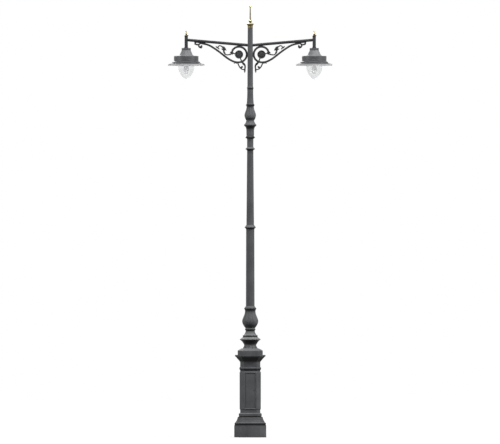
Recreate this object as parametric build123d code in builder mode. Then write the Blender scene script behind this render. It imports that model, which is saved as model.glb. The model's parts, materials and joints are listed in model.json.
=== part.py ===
from build123d import *
import os
from math import acos, cos, degrees, radians, sin, sqrt, tan

os.makedirs("parts", exist_ok=True)

# A cast and turned lighting column with two arms. Millimetres, +Z up, X along the arms.
# The origin is the middle of the plinth's underside, and the access door faces -Y.

# Plinth, base moulding and pedestal: chamfered squares, measured from the axis to a flat
plinth_half = 240
plinth_height = 184
corner_share = 0.375
plinth_edge = 8
casting_wall = 14
base_moulding_height = 182
moulding_half = 235
moulding_band_half = 172
die_half = 159
neck_half = 151
pedestal_height = 639
pedestal_wall = 16
ledge = 10
cornice_height = 229
astragal_half = 162
cornice_lip_half = 229
cap_half = 188
cap_top_half = 120
cap_height = 99

# Steel core and its foundation plate
plate_thickness = 20
plate_clearance = 20
anchor_spacing = 280
anchor_hole_radius = 13.5
cable_entry_radius = 45
core_radius = 57.15
core_wall = 5
upper_core_radius = 30.15
upper_core_wall = 4
core_overlap = 80
sleeve_clearance = 1.0
weld_gap = 0.3

# Turned column pieces: heights, and radii at the joints between them
foot_flare_height = 51
foot_flare_radius = 115
foot_neck_radius = 90
shoulder_height = 255
shoulder_radius = 155
shoulder_band_radius = 111
shoulder_neck_radius = 69
shoulder_bead_radius = 80
lower_vase_height = 248
lower_vase_radius = 120.5
lower_vase_neck = 79
vase_collar_height = 82
vase_collar_radius = 92.5
lower_shaft_height = 1140
lower_shaft_foot = 65
lower_shaft_top = 61.7
middle_ring_height = 75
middle_ring_radius = 84
middle_shaft_height = 1111
middle_shaft_foot = 57
middle_shaft_top = 47.3
shaft_wall = 5
spool_height = 226
spool_ring_height = 56
spool_ring_radius = 72.5
spool_radius = 47.5
cup_height = 230
cup_stem_radius = 54
cup_lip_radius = 92
upper_vase_height = 203
upper_vase_radius = 86
upper_vase_neck = 54.5
fluted_neck_height = 311
fluted_neck_foot = 52
neck_ring_radius = 66.5
top_ring_radius = 51
top_tube_height = 874
top_tube_foot = 42.5
top_tube_top = 38
top_tube_wall = 5
vase_flutes = 12
flute_radius = 20
flute_depth = 4
neck_flute_radius = 7
neck_flute_depth = 1.6
casting_skin = 16

# Brass finial on the column
finial_collar_height = 30
finial_collar_radius = 39
finial_saucer_radius = 54
finial_ball_radius = 24
finial_height = 336
finial_rod_radius = 10
finial_tip_radius = 15
spigot_depth = 40
spigot_clearance = 0.4

# Arms, hubs and brackets
arm_drop = 261
arm_reach = 960
arm_pitch = 4.9
arm_radius = 21.2
arm_wall = 3.2
wire_hole_radius = 12
hub_radius = 25
hub_wall = 4
hub_rise = 51
hub_fall = 122
hub_collar_radius = 30
hub_collar_height = 12
scroll_bar = 24
scroll_depth = 18
scroll_thin_bar = 14
ring_radius = 117
rosette_radius = 63
rosette_thickness = 14
rosette_plate_radius = 56
rosette_plate_thickness = 8
rosette_petals = 8
leaf_depth = 12

# Small brass finials on the hubs
hub_finial_saucer = 34
hub_finial_ball = 19
hub_finial_height = 86
hub_finial_tip = 13

# Lanterns
lantern_neck_height = 119
lantern_neck_radius = 69
lantern_neck_band = 36
lantern_neck_foot = 118
lantern_skin = 5
canopy_height = 107
canopy_radius = 184.5
canopy_wall = 4
canopy_flange_radius = 209
canopy_flange_height = 28
canopy_groove_drop = 53
canopy_groove = 3
shade_radius = 274.5
shade_drop = 38
shade_lip = 16
shade_wall = 3
shade_bevel = 6
shade_mouth_radius = 126
reflector_wall = 2
reflector_neck = 36
reflector_rise = 54
reflector_rim = 28
bowl_radius = 122
bowl_wall = 4
bowl_depth = 226
bowl_flange = 8
bowl_flange_thickness = 6
bowl_clearance = 1
bowl_ring_radius = 146
bowl_ring_height = 16
bowl_ring_ledge = 5
gasket_thickness = 3
bowl_hinge_reach = 158
knuckle_radius = 5.5
knuckle_width = 18
knuckle_clearance = 1
ear_width = 12
hinge_pin_radius = 2.5
running_clearance = 0.08
lug_height = 12
root_overlap = 4
knob_radius = 12
knob_height = 10
knob_shank_radius = 4
knob_hole_clearance = 0.5
lampholder_radius = 30
lampholder_length = 72
lamp_cap_radius = 19.5
lamp_cap_length = 42
lamp_radius = 38
lamp_length = 190
gear_plate_radius = 150
gear_plate_thickness = 3
gear_box = (110, 60, 32)
gear_box_offset = 95
shade_screw_radius = 3
shade_screw_circle = 192
shade_screw_depth = 11

# Access door in the front panel
panel_recess = 8
panel_bevel = 6
door_width = 150
door_thickness = 8
door_gap = 2
door_margin = 6
door_gasket_thickness = 3
door_lip = 8
door_frame_margin = 12
door_frame_thickness = 8
door_pin_radius = 2
door_pin_length = 20
lock_radius = 9
lock_inset = 20
lock_length = 26
cam_length = 24
cam_width = 8
cam_thickness = 3
cam_clearance = 2

# Electrical parts behind the door
saddle_width = 40
saddle_height = 20
board_standoff = 9
board_size = (110, 300)
board_thickness = 8
isolator_size = (80, 45, 150)
lever_slot = (12, 18, 28)
lever_radius = 5
lever_length = 21
lever_width = 7
lever_thickness = 4
lever_tilt = 25
side_clearance = 0.3
gland_radius = 11
gland_length = 24
stud_radius = 4
stud_length = 32
stud_nut_radius = 7.5
stud_nut_height = 7
stud_offset = 100
grub_radius = 4
grub_clearance = 0.05

# Levels of the stack, each the top of the piece that it names
moulding_base = plinth_height
pedestal_base = moulding_base + base_moulding_height
cornice_base = pedestal_base + pedestal_height
cap_base = cornice_base + cornice_height
foot_flare_base = cap_base + cap_height
shoulder_base = foot_flare_base + foot_flare_height
lower_vase_base = shoulder_base + shoulder_height
vase_collar_base = lower_vase_base + lower_vase_height
lower_shaft_base = vase_collar_base + vase_collar_height
middle_ring_base = lower_shaft_base + lower_shaft_height
middle_shaft_base = middle_ring_base + middle_ring_height
spool_base = middle_shaft_base + middle_shaft_height
cup_base = spool_base + spool_height
upper_vase_base = cup_base + cup_height
fluted_neck_base = upper_vase_base + upper_vase_height
top_tube_base = fluted_neck_base + fluted_neck_height
finial_base = top_tube_base + top_tube_height

core_bore = core_radius + sleeve_clearance
upper_bore = upper_core_radius + sleeve_clearance
arm_height = finial_base - arm_drop
arm_share = (arm_height - top_tube_base) / top_tube_height
pole_radius_at_arm = top_tube_foot + arm_share * (top_tube_top - top_tube_foot)
hub_height = arm_height + arm_reach * tan(radians(arm_pitch))
hub_top = hub_height + hub_rise
neck_top = hub_height - hub_fall
canopy_top = neck_top - lantern_neck_height
shade_top = canopy_top - canopy_height
sides = {"left": -1, "right": 1}


def section_plane(height, offset=0):
    """The vertical plane of a turned piece: X is its radius, Y its height above a level."""
    return Plane(origin=(offset, 0, height), x_dir=(1, 0, 0), z_dir=(0, -1, 0))


def turned(height, outline, offset=0, mode=Mode.ADD):
    """Turn a closed outline of (radius, height) points about a vertical axis."""
    with BuildSketch(section_plane(height, offset)) as half:
        with BuildLine():
            Polyline(*outline, close=True)
        make_face()
    revolve(half.sketch, axis=Axis((offset, 0, 0), (0, 0, 1)), mode=mode)


def drilled(centre, direction, radius, length):
    """Cut a round hole that starts at a point and runs in one direction."""
    with BuildSketch(Plane(origin=centre, z_dir=direction)) as mouth:
        Circle(radius)
    extrude(mouth.sketch, amount=length, mode=Mode.SUBTRACT)


def rod(centre, direction, radius, length):
    """Add a round bar that starts at a point and runs in one direction."""
    with BuildSketch(Plane(origin=centre, z_dir=direction)) as end:
        Circle(radius)
    extrude(end.sketch, amount=length)


def ball_tip(neck, radius, top):
    """Draw a rod's end: a ball of that radius, centred on the axis, from the rod's neck to the top."""
    start = degrees(acos(neck / radius))
    CenterArc((0, top - radius), radius, -start, 90 + start)


def chamfered_square(half, height):
    """One level of the pedestal: a square with its corners cut at 45 degrees."""
    with BuildSketch(Plane.XY.offset(height)) as level:
        Rectangle(2 * half, 2 * half)
        chamfer(level.vertices(), corner_share * half)
    return level.sketch


def moulded(base, profile, mode=Mode.ADD):
    """Stack tapered slabs through (half width, height above base) levels."""
    for (half, low), (next_half, high) in zip(profile, profile[1:]):
        levels = [chamfered_square(half, base + low), chamfered_square(next_half, base + high)]
        loft(levels, ruled=True, mode=mode)


def ovolo(low, high, steps=4):
    """Points of a quarter-round bulge that leaves low upright and reaches high flat."""
    points = []
    for step in range(steps + 1):
        turn = radians(90 * step / steps)
        half = low[0] + (high[0] - low[0]) * (1 - cos(turn))
        points.append((half, low[1] + (high[1] - low[1]) * sin(turn)))
    return points


def bead(foot, crest, neck, low, height):
    """Draw a ring's edge: a hollow out to a rounded crest, then a slope back to the neck."""
    crest_low = low + 0.42 * height
    crest_high = low + 0.62 * height
    edge = crest - 0.3 * (crest_high - crest_low)
    ThreePointArc((foot, low), (foot + 0.3 * (edge - foot), low + 0.27 * height), (edge, crest_low))
    ThreePointArc((edge, crest_low), (crest, (crest_low + crest_high) / 2), (edge, crest_high))
    Line((edge, crest_high), (neck, low + height))


def fluted(path, radius, count):
    """Cut flutes round a turned piece by sweeping a circle along a path beside it."""
    start = Plane(origin=path @ 0, z_dir=path % 0)
    with BuildSketch(start) as tip:
        Circle(radius)
    cutter = sweep(tip.sketch, path=path, mode=Mode.PRIVATE)
    with PolarLocations(0, count, start_angle=180 / count):
        add(cutter, mode=Mode.SUBTRACT)


# Foundation plate: four bolt holes and the cable entry
plate_half = plinth_half - casting_wall - plate_clearance
with BuildPart() as base_plate:
    extrude(chamfered_square(plate_half, 0), amount=plate_thickness)
    with GridLocations(anchor_spacing, anchor_spacing, 2, 2):
        Hole(anchor_hole_radius)
    Hole(cable_entry_radius)
base_plate.part.label = "base_plate"
export_step(base_plate.part, "parts/base_plate.step")

# Plinth: an open box, its top a rim that carries the base moulding
moulding_cavity_half = moulding_half - 2 * casting_wall
with BuildPart() as plinth:
    moulded(0, [(plinth_half, 0), (plinth_half, plinth_height - plinth_edge),
                (plinth_half - plinth_edge, plinth_height)])
    plinth_inside = plinth_half - casting_wall
    moulded(0, [(plinth_inside, 0), (plinth_inside, plinth_height - casting_wall)], mode=Mode.SUBTRACT)
    moulded(0, [(moulding_cavity_half - casting_wall, 0),
                (moulding_cavity_half - casting_wall, plinth_height)], mode=Mode.SUBTRACT)
plinth.part.label = "plinth"
export_step(plinth.part, "parts/plinth.step")

# Base moulding: edge band, sweeping hollow, bulge, groove and upper band
edge_top = 30
hollow_top = 82
bulge_top = 124
groove_top = 132
band_top = base_moulding_height - 12
hollow_half = moulding_half - 37
with BuildPart() as base_moulding:
    moulded(moulding_base, [(moulding_half - plinth_edge, 0), (moulding_half, plinth_edge),
                            (moulding_half, edge_top)])
    moulded(moulding_base, [(moulding_half - 5, edge_top), (moulding_half - 20, edge_top + 18),
                            (moulding_half - 30, edge_top + 34), (hollow_half, hollow_top)])
    moulded(moulding_base, ovolo((hollow_half - 4, hollow_top), (moulding_band_half + 4, bulge_top)))
    moulded(moulding_base, [(moulding_band_half - 6, bulge_top), (moulding_band_half - 6, groove_top)])
    moulded(moulding_base, [(moulding_band_half - 3, groove_top), (moulding_band_half, groove_top + 4),
                            (moulding_band_half, band_top), (neck_half, base_moulding_height)])
    moulded(moulding_base, [(moulding_cavity_half, 0), (neck_half - pedestal_wall, bulge_top),
                            (neck_half - pedestal_wall, base_moulding_height)], mode=Mode.SUBTRACT)
base_moulding.part.label = "base_moulding"
export_step(base_moulding.part, "parts/base_moulding.step")

# Pedestal body: the front panel is cut through for the door, the other three are blind
die_low = 58
die_high = pedestal_height - 30
panel_height = die_high - die_low - 2 * door_margin
panel_middle = pedestal_base + (die_low + die_high) / 2
door_height = panel_height - 2 * panel_bevel - 2 * door_gap
mouth_size = (door_width + 2 * door_gap, door_height + 2 * door_gap)
pocket_depth = panel_recess + door_thickness + door_gasket_thickness
lip_front = die_half - pocket_depth
opening_size = (door_width - 2 * door_lip, door_height - 2 * door_lip)
hinge_x = -door_width / 2 + door_thickness / 2
door_front = die_half - panel_recess
hinge_y = -(door_front - door_thickness / 2)


def panel_plane(distance, turn=0):
    """A pedestal face's plane, that far out from the axis, at the height of the panels' middle."""
    facing = (sin(radians(turn)), -cos(radians(turn)), 0)
    origin = (distance * facing[0], distance * facing[1], panel_middle)
    return Plane(origin=origin, x_dir=(cos(radians(turn)), sin(radians(turn)), 0), z_dir=facing)


def panel_mouth(turn):
    """Cut a panel's bevelled mouth into the face that looks that way."""
    with BuildSketch(panel_plane(die_half, turn)) as rim:
        Rectangle(mouth_size[0] + 2 * panel_bevel, mouth_size[1] + 2 * panel_bevel)
    with BuildSketch(panel_plane(die_half - panel_bevel, turn)) as throat:
        Rectangle(*mouth_size)
    loft([rim.sketch, throat.sketch], ruled=True, mode=Mode.SUBTRACT)
    extrude(throat.sketch, amount=-(panel_recess - panel_bevel), mode=Mode.SUBTRACT)


with BuildPart() as pedestal_body:
    moulded(pedestal_base, [(neck_half, 0), (neck_half, die_low - ledge), (die_half, die_low),
                            (die_half, die_high), (neck_half, die_high + ledge),
                            (neck_half, pedestal_height)])
    inner_neck = neck_half - pedestal_wall
    inner_die = die_half - pedestal_wall
    moulded(pedestal_base, [(inner_neck, 0), (inner_neck, die_low - ledge), (inner_die, die_low + ledge),
                            (inner_die, die_high - ledge), (inner_neck, die_high + ledge),
                            (inner_neck, pedestal_height)], mode=Mode.SUBTRACT)
    with BuildSketch(panel_plane(lip_front + 1)) as frame_outline:
        Rectangle(mouth_size[0] + 2 * door_frame_margin, mouth_size[1] + 2 * door_frame_margin)
    extrude(frame_outline.sketch, amount=-(door_frame_thickness + 1))
    for face_turn in (0, 90, 180, 270):
        panel_mouth(face_turn)
    with BuildSketch(panel_plane(door_front)) as pocket:
        Rectangle(*mouth_size)
    extrude(pocket.sketch, amount=-(pocket_depth - panel_recess), mode=Mode.SUBTRACT)
    with BuildSketch(panel_plane(die_half)) as opening:
        Rectangle(*opening_size)
    extrude(opening.sketch, amount=-(pocket_depth + door_frame_thickness + 1), mode=Mode.SUBTRACT)
    for end in (-1, 1):
        pin_start = panel_middle + end * (mouth_size[1] / 2)
        drilled((hinge_x, hinge_y, pin_start), (0, 0, end), door_pin_radius + running_clearance,
                door_pin_length / 2)
pedestal_body.part.label = "pedestal_body"
export_step(pedestal_body.part, "parts/pedestal_body.step")

# Door: its hinge edge is round about the pins, so that it turns inside the frame
lock_x = door_width / 2 - lock_inset
with BuildPart() as pedestal_door:
    with BuildSketch(panel_plane(door_front)):
        Rectangle(door_width, door_height)
    extrude(amount=-door_thickness)
    hinge_edges = pedestal_door.edges().filter_by(Axis.Z).group_by(Axis.X)[0]
    fillet(hinge_edges, door_thickness / 2 - 0.01)
    for end in (-1, 1):
        drilled((hinge_x, hinge_y, panel_middle + end * door_height / 2), (0, 0, -end),
                door_pin_radius + running_clearance, door_pin_length / 2)
    drilled((lock_x, -door_front, panel_middle), (0, 1, 0), lock_radius + running_clearance,
            door_thickness)
pedestal_door.part.label = "pedestal_door"
export_step(pedestal_door.part, "parts/pedestal_door.step")

with BuildPart() as door_hinge_pins:
    pin_middle = (mouth_size[1] + door_height) / 4
    for end in (-1, 1):
        pin_low = panel_middle + end * pin_middle - (door_pin_length - door_gap) / 2
        rod((hinge_x, hinge_y, pin_low), (0, 0, 1), door_pin_radius, door_pin_length - door_gap)
door_hinge_pins.part.label = "door_hinge_pins"
export_step(door_hinge_pins.part, "parts/door_hinge_pins.step")

# Lock barrel with a key slot in front and a cam behind, which hangs down when unlocked
cam_front = lip_front - door_frame_thickness - cam_clearance
with BuildPart() as door_lock:
    rod((lock_x, -door_front - 1, panel_middle), (0, 1, 0), lock_radius,
        door_front + 1 - cam_front + cam_thickness)
    with BuildSketch(Plane(origin=(lock_x, -door_front - 1, panel_middle), x_dir=(1, 0, 0),
                           z_dir=(0, -1, 0))) as key_slot:
        RegularPolygon(lock_radius * 0.45, 3)
    extrude(key_slot.sketch, amount=-5, mode=Mode.SUBTRACT)
    with BuildSketch(Plane(origin=(lock_x, -cam_front, panel_middle), x_dir=(1, 0, 0),
                           z_dir=(0, 1, 0))) as cam:
        with Locations((0, cam_length / 2)):
            Rectangle(cam_width, cam_length)
    extrude(cam.sketch, amount=cam_thickness)
door_lock.part.label = "door_lock"
export_step(door_lock.part, "parts/door_lock.step")

with BuildPart() as door_gasket:
    with BuildSketch(panel_plane(lip_front)):
        Rectangle(door_width - 1, door_height - 1)
        Rectangle(*opening_size, mode=Mode.SUBTRACT)
    extrude(amount=door_gasket_thickness - side_clearance)
door_gasket.part.label = "door_gasket"
export_step(door_gasket.part, "parts/door_gasket.step")

# Cornice: astragal, frieze, hollow and lip
frieze_foot = 50
hollow_foot = 122
lip_foot = cornice_height - 16
with BuildPart() as cornice:
    moulded(cornice_base, [(neck_half, 0), (neck_half + 4, 8), (astragal_half, 16),
                           (astragal_half, 38), (neck_half, frieze_foot), (neck_half, hollow_foot),
                           (neck_half + 5, hollow_foot + 10), (cornice_lip_half - 22, lip_foot - 20),
                           (cornice_lip_half, lip_foot), (cornice_lip_half, cornice_height)])
    moulded(cornice_base, [(neck_half - pedestal_wall, 0), (neck_half - pedestal_wall, hollow_foot + 10),
                           (cornice_lip_half - 4 * casting_wall, lip_foot - 10),
                           (cornice_lip_half - 4 * casting_wall, cornice_height)], mode=Mode.SUBTRACT)
cornice.part.label = "cornice"
export_step(cornice.part, "parts/cornice.step")

# Cap block: upright sides, a rounded bevel and a bore for the core
with BuildPart() as cap_block:
    shoulder_level = cap_height - 37
    moulded(cap_base, [(cap_half, 0), (cap_half, shoulder_level), (cap_half - 6, shoulder_level + 8),
                       (cap_half - 30, shoulder_level + 21), (cap_top_half + 16, cap_height - 4),
                       (cap_top_half, cap_height)])
    cap_inside = cap_half - casting_wall
    moulded(cap_base, [(cap_inside, 0), (cap_inside, shoulder_level - casting_wall),
                       (cap_top_half - casting_wall, cap_height - casting_wall)], mode=Mode.SUBTRACT)
    drilled((0, 0, cap_base), (0, 0, 1), core_bore, cap_height)
cap_block.part.label = "cap_block"
export_step(cap_block.part, "parts/cap_block.step")

# Fluted foot flare: a hollow cone that opens downwards onto the cap block
with BuildPart() as foot_flare:
    with BuildSketch(section_plane(foot_flare_base)):
        with BuildLine():
            Line((core_bore, 0), (foot_flare_radius, 0))
            ThreePointArc((foot_flare_radius, 0), (foot_neck_radius + 8, 0.5 * foot_flare_height),
                          (foot_neck_radius, foot_flare_height))
            Line((foot_neck_radius, foot_flare_height), (core_bore, foot_flare_height))
            Line((core_bore, foot_flare_height), (core_bore, 0))
        make_face()
    revolve(axis=Axis.Z)
    flare_stand_off = flute_radius - flute_depth
    flare_path = ThreePointArc((foot_flare_radius + flare_stand_off, 0, foot_flare_base),
                               (foot_neck_radius + 8 + flare_stand_off, 0,
                                foot_flare_base + 0.5 * foot_flare_height),
                               (foot_neck_radius + flare_stand_off, 0, foot_flare_base + foot_flare_height),
                               mode=Mode.PRIVATE)
    fluted(flare_path, flute_radius, vase_flutes)
foot_flare.part.label = "foot_flare"
export_step(foot_flare.part, "parts/foot_flare.step")

# Shoulder: inverted cone to a thin saucer edge, band, hollow neck and bead
saucer_level = 82
band_foot = 118
band_level = 146
bead_height = 48
with BuildPart() as shoulder:
    with BuildSketch(section_plane(shoulder_base)):
        with BuildLine():
            Line((core_bore, 0), (foot_neck_radius, 0))
            Spline((foot_neck_radius, 0), (foot_neck_radius + 20, 36), (shoulder_radius - 30, 56),
                   (shoulder_radius, saucer_level - 4))
            Line((shoulder_radius, saucer_level - 4), (shoulder_radius, saucer_level + 4))
            Line((shoulder_radius, saucer_level + 4), (shoulder_band_radius, band_foot))
            Line((shoulder_band_radius, band_foot), (shoulder_band_radius, band_level))
            Line((shoulder_band_radius, band_level), (shoulder_band_radius - 15, band_level + 6))
            ThreePointArc((shoulder_band_radius - 15, band_level + 6),
                          (shoulder_neck_radius + 10, band_level + 30),
                          (shoulder_neck_radius, shoulder_height - bead_height))
            bead(shoulder_neck_radius, shoulder_bead_radius, shoulder_neck_radius + 3,
                 shoulder_height - bead_height, bead_height)
            Line((shoulder_neck_radius + 3, shoulder_height), (core_bore, shoulder_height))
            Line((core_bore, shoulder_height), (core_bore, 0))
        make_face()
    revolve(axis=Axis.Z)
    band_inside = shoulder_band_radius - casting_skin
    turned(shoulder_base, [(core_bore, saucer_level - 20), (band_inside, saucer_level),
                           (band_inside, band_foot), (core_bore, band_level)], mode=Mode.SUBTRACT)
shoulder.part.label = "shoulder"
export_step(shoulder.part, "parts/shoulder.step")


def vase_outline(bore, foot, belly, neck, height, belly_level):
    """Draw a vase: quick swell from the foot, full belly, long hollow run to the neck."""
    Line((bore, 0), (foot, 0))
    Spline((foot, 0), (foot + 0.76 * (belly - foot), 0.56 * belly_level), (belly, belly_level),
           (neck + 0.58 * (belly - neck), belly_level + 0.43 * (height - belly_level)),
           (neck + 0.14 * (belly - neck), belly_level + 0.75 * (height - belly_level)), (neck, height))
    Line((neck, height), (bore, height))
    Line((bore, height), (bore, 0))


def vase_flute_path(base, foot, belly, neck, height, belly_level):
    """The run of a flute's cutter beside a vase's belly and neck."""
    stand_off = flute_radius - flute_depth
    return Spline((foot + 0.76 * (belly - foot) + stand_off, 0, base + 0.5 * belly_level),
                  (belly + stand_off, 0, base + belly_level),
                  (neck + 0.58 * (belly - neck) + stand_off, 0,
                   base + belly_level + 0.43 * (height - belly_level)),
                  (neck + stand_off, 0, base + height), mode=Mode.PRIVATE)


lower_belly_level = 0.4 * lower_vase_height
with BuildPart() as lower_vase:
    with BuildSketch(section_plane(lower_vase_base)):
        with BuildLine():
            vase_outline(core_bore, shoulder_neck_radius + 3, lower_vase_radius, lower_vase_neck,
                         lower_vase_height, lower_belly_level)
        make_face()
    revolve(axis=Axis.Z)
    fluted(vase_flute_path(lower_vase_base, shoulder_neck_radius + 3, lower_vase_radius, lower_vase_neck,
                           lower_vase_height, lower_belly_level), flute_radius, vase_flutes)
    belly_inside = lower_vase_radius - 2 * casting_skin
    turned(lower_vase_base, [(core_bore, 30), (belly_inside, lower_belly_level - 20),
                             (belly_inside, lower_belly_level + 20),
                             (core_bore, 0.8 * lower_vase_height)], mode=Mode.SUBTRACT)
lower_vase.part.label = "lower_vase"
export_step(lower_vase.part, "parts/lower_vase.step")

# Collar between the vase and the lower shaft
with BuildPart() as vase_collar:
    with BuildSketch(section_plane(vase_collar_base)):
        with BuildLine():
            Line((core_bore, 0), (lower_vase_neck, 0))
            bead(lower_vase_neck, vase_collar_radius, lower_shaft_foot, 0, vase_collar_height)
            Line((lower_shaft_foot, vase_collar_height), (core_bore, vase_collar_height))
            Line((core_bore, vase_collar_height), (core_bore, 0))
        make_face()
    revolve(axis=Axis.Z)
vase_collar.part.label = "vase_collar"
export_step(vase_collar.part, "parts/vase_collar.step")

with BuildPart() as lower_shaft:
    turned(lower_shaft_base, [(core_bore, 0), (lower_shaft_foot, 0), (lower_shaft_top, lower_shaft_height),
                              (core_bore, lower_shaft_height)])
lower_shaft.part.label = "lower_shaft"
export_step(lower_shaft.part, "parts/lower_shaft.step")


def grub_holes(height, outer):
    """Drill the three radial holes of a ring's grub screws."""
    for turn in (90, 210, 330):
        direction = (cos(radians(turn)), sin(radians(turn)), 0)
        drilled((0, 0, height), direction, grub_radius + grub_clearance, outer + 1)


def grub_set(height, inner, outer):
    """The three grub screws of a ring, from the core to just under the ring's face."""
    for turn in (90, 210, 330):
        direction = (cos(radians(turn)), sin(radians(turn)), 0)
        start = (inner * direction[0], inner * direction[1], height)
        rod(start, direction, grub_radius, outer - inner - 1)


# Middle ring: the lower core ends inside it, on the reducer
middle_grub_level = middle_ring_base + 0.5 * middle_ring_height
with BuildPart() as middle_ring:
    with BuildSketch(section_plane(middle_ring_base)):
        with BuildLine():
            Line((core_bore, 0), (lower_shaft_top, 0))
            bead(lower_shaft_top, middle_ring_radius, middle_shaft_foot + 2, 0, middle_ring_height)
            Line((middle_shaft_foot + 2, middle_ring_height), (upper_bore, middle_ring_height))
            Line((upper_bore, middle_ring_height), (upper_bore, middle_ring_height - 10))
            Line((upper_bore, middle_ring_height - 10), (core_bore, middle_ring_height - 16))
            Line((core_bore, middle_ring_height - 16), (core_bore, 0))
        make_face()
    revolve(axis=Axis.Z)
    grub_holes(middle_grub_level, middle_ring_radius)
middle_ring.part.label = "middle_ring"
export_step(middle_ring.part, "parts/middle_ring.step")

with BuildPart() as middle_shaft:
    turned(middle_shaft_base, [(middle_shaft_foot - shaft_wall, 0), (middle_shaft_foot, 0),
                               (middle_shaft_top, middle_shaft_height),
                               (middle_shaft_top - shaft_wall, middle_shaft_height)])
middle_shaft.part.label = "middle_shaft"
export_step(middle_shaft.part, "parts/middle_shaft.step")

# Spool: two rings with a short shaft between them
spool_low_level = spool_base + 0.5 * spool_ring_height
with BuildPart() as spool:
    with BuildSketch(section_plane(spool_base)):
        with BuildLine():
            Line((upper_bore, 0), (middle_shaft_top, 0))
            bead(middle_shaft_top, spool_ring_radius, spool_radius, 0, spool_ring_height)
            Line((spool_radius, spool_ring_height), (spool_radius, spool_height - spool_ring_height))
            bead(spool_radius, spool_ring_radius, cup_stem_radius, spool_height - spool_ring_height,
                 spool_ring_height)
            Line((cup_stem_radius, spool_height), (upper_bore, spool_height))
            Line((upper_bore, spool_height), (upper_bore, 0))
        make_face()
    revolve(axis=Axis.Z)
    grub_holes(spool_low_level, spool_ring_radius)
spool.part.label = "spool"
export_step(spool.part, "parts/spool.step")

# Cup collar: stem, flared cup, sharp lip and a fluted cone that closes onto the vase
lip_level = 0.66 * cup_height
upper_foot = upper_vase_neck + 4
with BuildPart() as cup_collar:
    with BuildSketch(section_plane(cup_base)):
        with BuildLine():
            Line((upper_bore, 0), (cup_stem_radius, 0))
            Spline((cup_stem_radius, 0), (cup_stem_radius + 4, 0.38 * cup_height),
                   (cup_stem_radius + 12, 0.54 * cup_height), (cup_lip_radius, lip_level))
            Line((cup_lip_radius, lip_level), (cup_lip_radius, lip_level + 16))
            ThreePointArc((cup_lip_radius, lip_level + 16), (upper_foot + 12, 0.85 * cup_height),
                          (upper_foot, cup_height))
            Line((upper_foot, cup_height), (upper_bore, cup_height))
            Line((upper_bore, cup_height), (upper_bore, 0))
        make_face()
    revolve(axis=Axis.Z)
    cone_path = Line((cup_lip_radius + flute_radius, 0, cup_base + lip_level + 18),
                     (upper_foot + flute_radius - flute_depth, 0, cup_base + cup_height), mode=Mode.PRIVATE)
    fluted(cone_path, flute_radius, vase_flutes)
cup_collar.part.label = "cup_collar"
export_step(cup_collar.part, "parts/cup_collar.step")

upper_belly_level = 0.38 * upper_vase_height
with BuildPart() as upper_vase:
    with BuildSketch(section_plane(upper_vase_base)):
        with BuildLine():
            vase_outline(upper_bore, upper_foot, upper_vase_radius, upper_vase_neck, upper_vase_height,
                         upper_belly_level)
        make_face()
    revolve(axis=Axis.Z)
    fluted(vase_flute_path(upper_vase_base, upper_foot, upper_vase_radius, upper_vase_neck,
                           upper_vase_height, upper_belly_level), flute_radius, vase_flutes)
upper_vase.part.label = "upper_vase"
export_step(upper_vase.part, "parts/upper_vase.step")

# Fluted neck with a ring at each end
neck_foot_ring = 52
neck_top_ring = 60
top_ring_level = fluted_neck_base + fluted_neck_height - 0.5 * neck_top_ring
neck_top_radius = top_tube_foot + 2
with BuildPart() as fluted_neck:
    with BuildSketch(section_plane(fluted_neck_base)):
        with BuildLine():
            Line((upper_bore, 0), (upper_vase_neck, 0))
            bead(upper_vase_neck, neck_ring_radius, fluted_neck_foot, 0, neck_foot_ring)
            ThreePointArc((fluted_neck_foot, neck_foot_ring),
                          (neck_top_radius + 2.5, 0.42 * fluted_neck_height),
                          (neck_top_radius, fluted_neck_height - neck_top_ring))
            bead(neck_top_radius, top_ring_radius, top_tube_foot, fluted_neck_height - neck_top_ring,
                 neck_top_ring)
            Line((top_tube_foot, fluted_neck_height), (upper_bore, fluted_neck_height))
            Line((upper_bore, fluted_neck_height), (upper_bore, 0))
        make_face()
    revolve(axis=Axis.Z)
    neck_stand_off = neck_flute_radius - neck_flute_depth
    neck_path = Line((fluted_neck_foot + neck_stand_off, 0, fluted_neck_base + neck_foot_ring),
                     (neck_top_radius + neck_stand_off, 0,
                      fluted_neck_base + fluted_neck_height - neck_top_ring), mode=Mode.PRIVATE)
    fluted(neck_path, neck_flute_radius, vase_flutes)
    grub_holes(top_ring_level, top_ring_radius)
fluted_neck.part.label = "fluted_neck"
export_step(fluted_neck.part, "parts/fluted_neck.step")

# Top tube: tapered, with the arms' wire holes through it
wire_reach = 2 * top_tube_foot
with BuildPart() as top_tube:
    turned(top_tube_base, [(top_tube_foot - top_tube_wall, 0), (top_tube_foot, 0),
                           (top_tube_top, top_tube_height),
                           (top_tube_top - top_tube_wall, top_tube_height)])
    for side in sides.values():
        drilled((0, 0, arm_height), (side, 0, 0), wire_hole_radius, wire_reach)
top_tube.part.label = "top_tube"
export_step(top_tube.part, "parts/top_tube.step")

# Core: lower tube with a cable window and the board's saddles, reducer, and upper tube
core_top = middle_ring_base + 0.6 * middle_ring_height
board_low = panel_middle - board_size[1] / 2
window_size = (50, 120)
window_middle = board_low - window_size[1] / 2 - 2 * saddle_height
saddle_front = core_radius + board_standoff
with BuildPart() as core_tube_lower:
    with BuildSketch(Plane.XY.offset(plate_thickness)):
        Circle(core_radius)
    extrude(amount=core_top - plate_thickness)
    for saddle_level in (board_low + 2 * saddle_height, board_low + board_size[1] - 2 * saddle_height):
        with Locations((0, -saddle_front / 2, saddle_level)):
            Box(saddle_width, saddle_front, saddle_height)
    drilled((0, 0, plate_thickness), (0, 0, 1), core_radius - core_wall, core_top - plate_thickness)
    with Locations((0, -core_radius, window_middle)):
        Box(window_size[0], core_radius, window_size[1], mode=Mode.SUBTRACT)
core_tube_lower.part.label = "core_tube_lower"
export_step(core_tube_lower.part, "parts/core_tube_lower.step")

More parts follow.
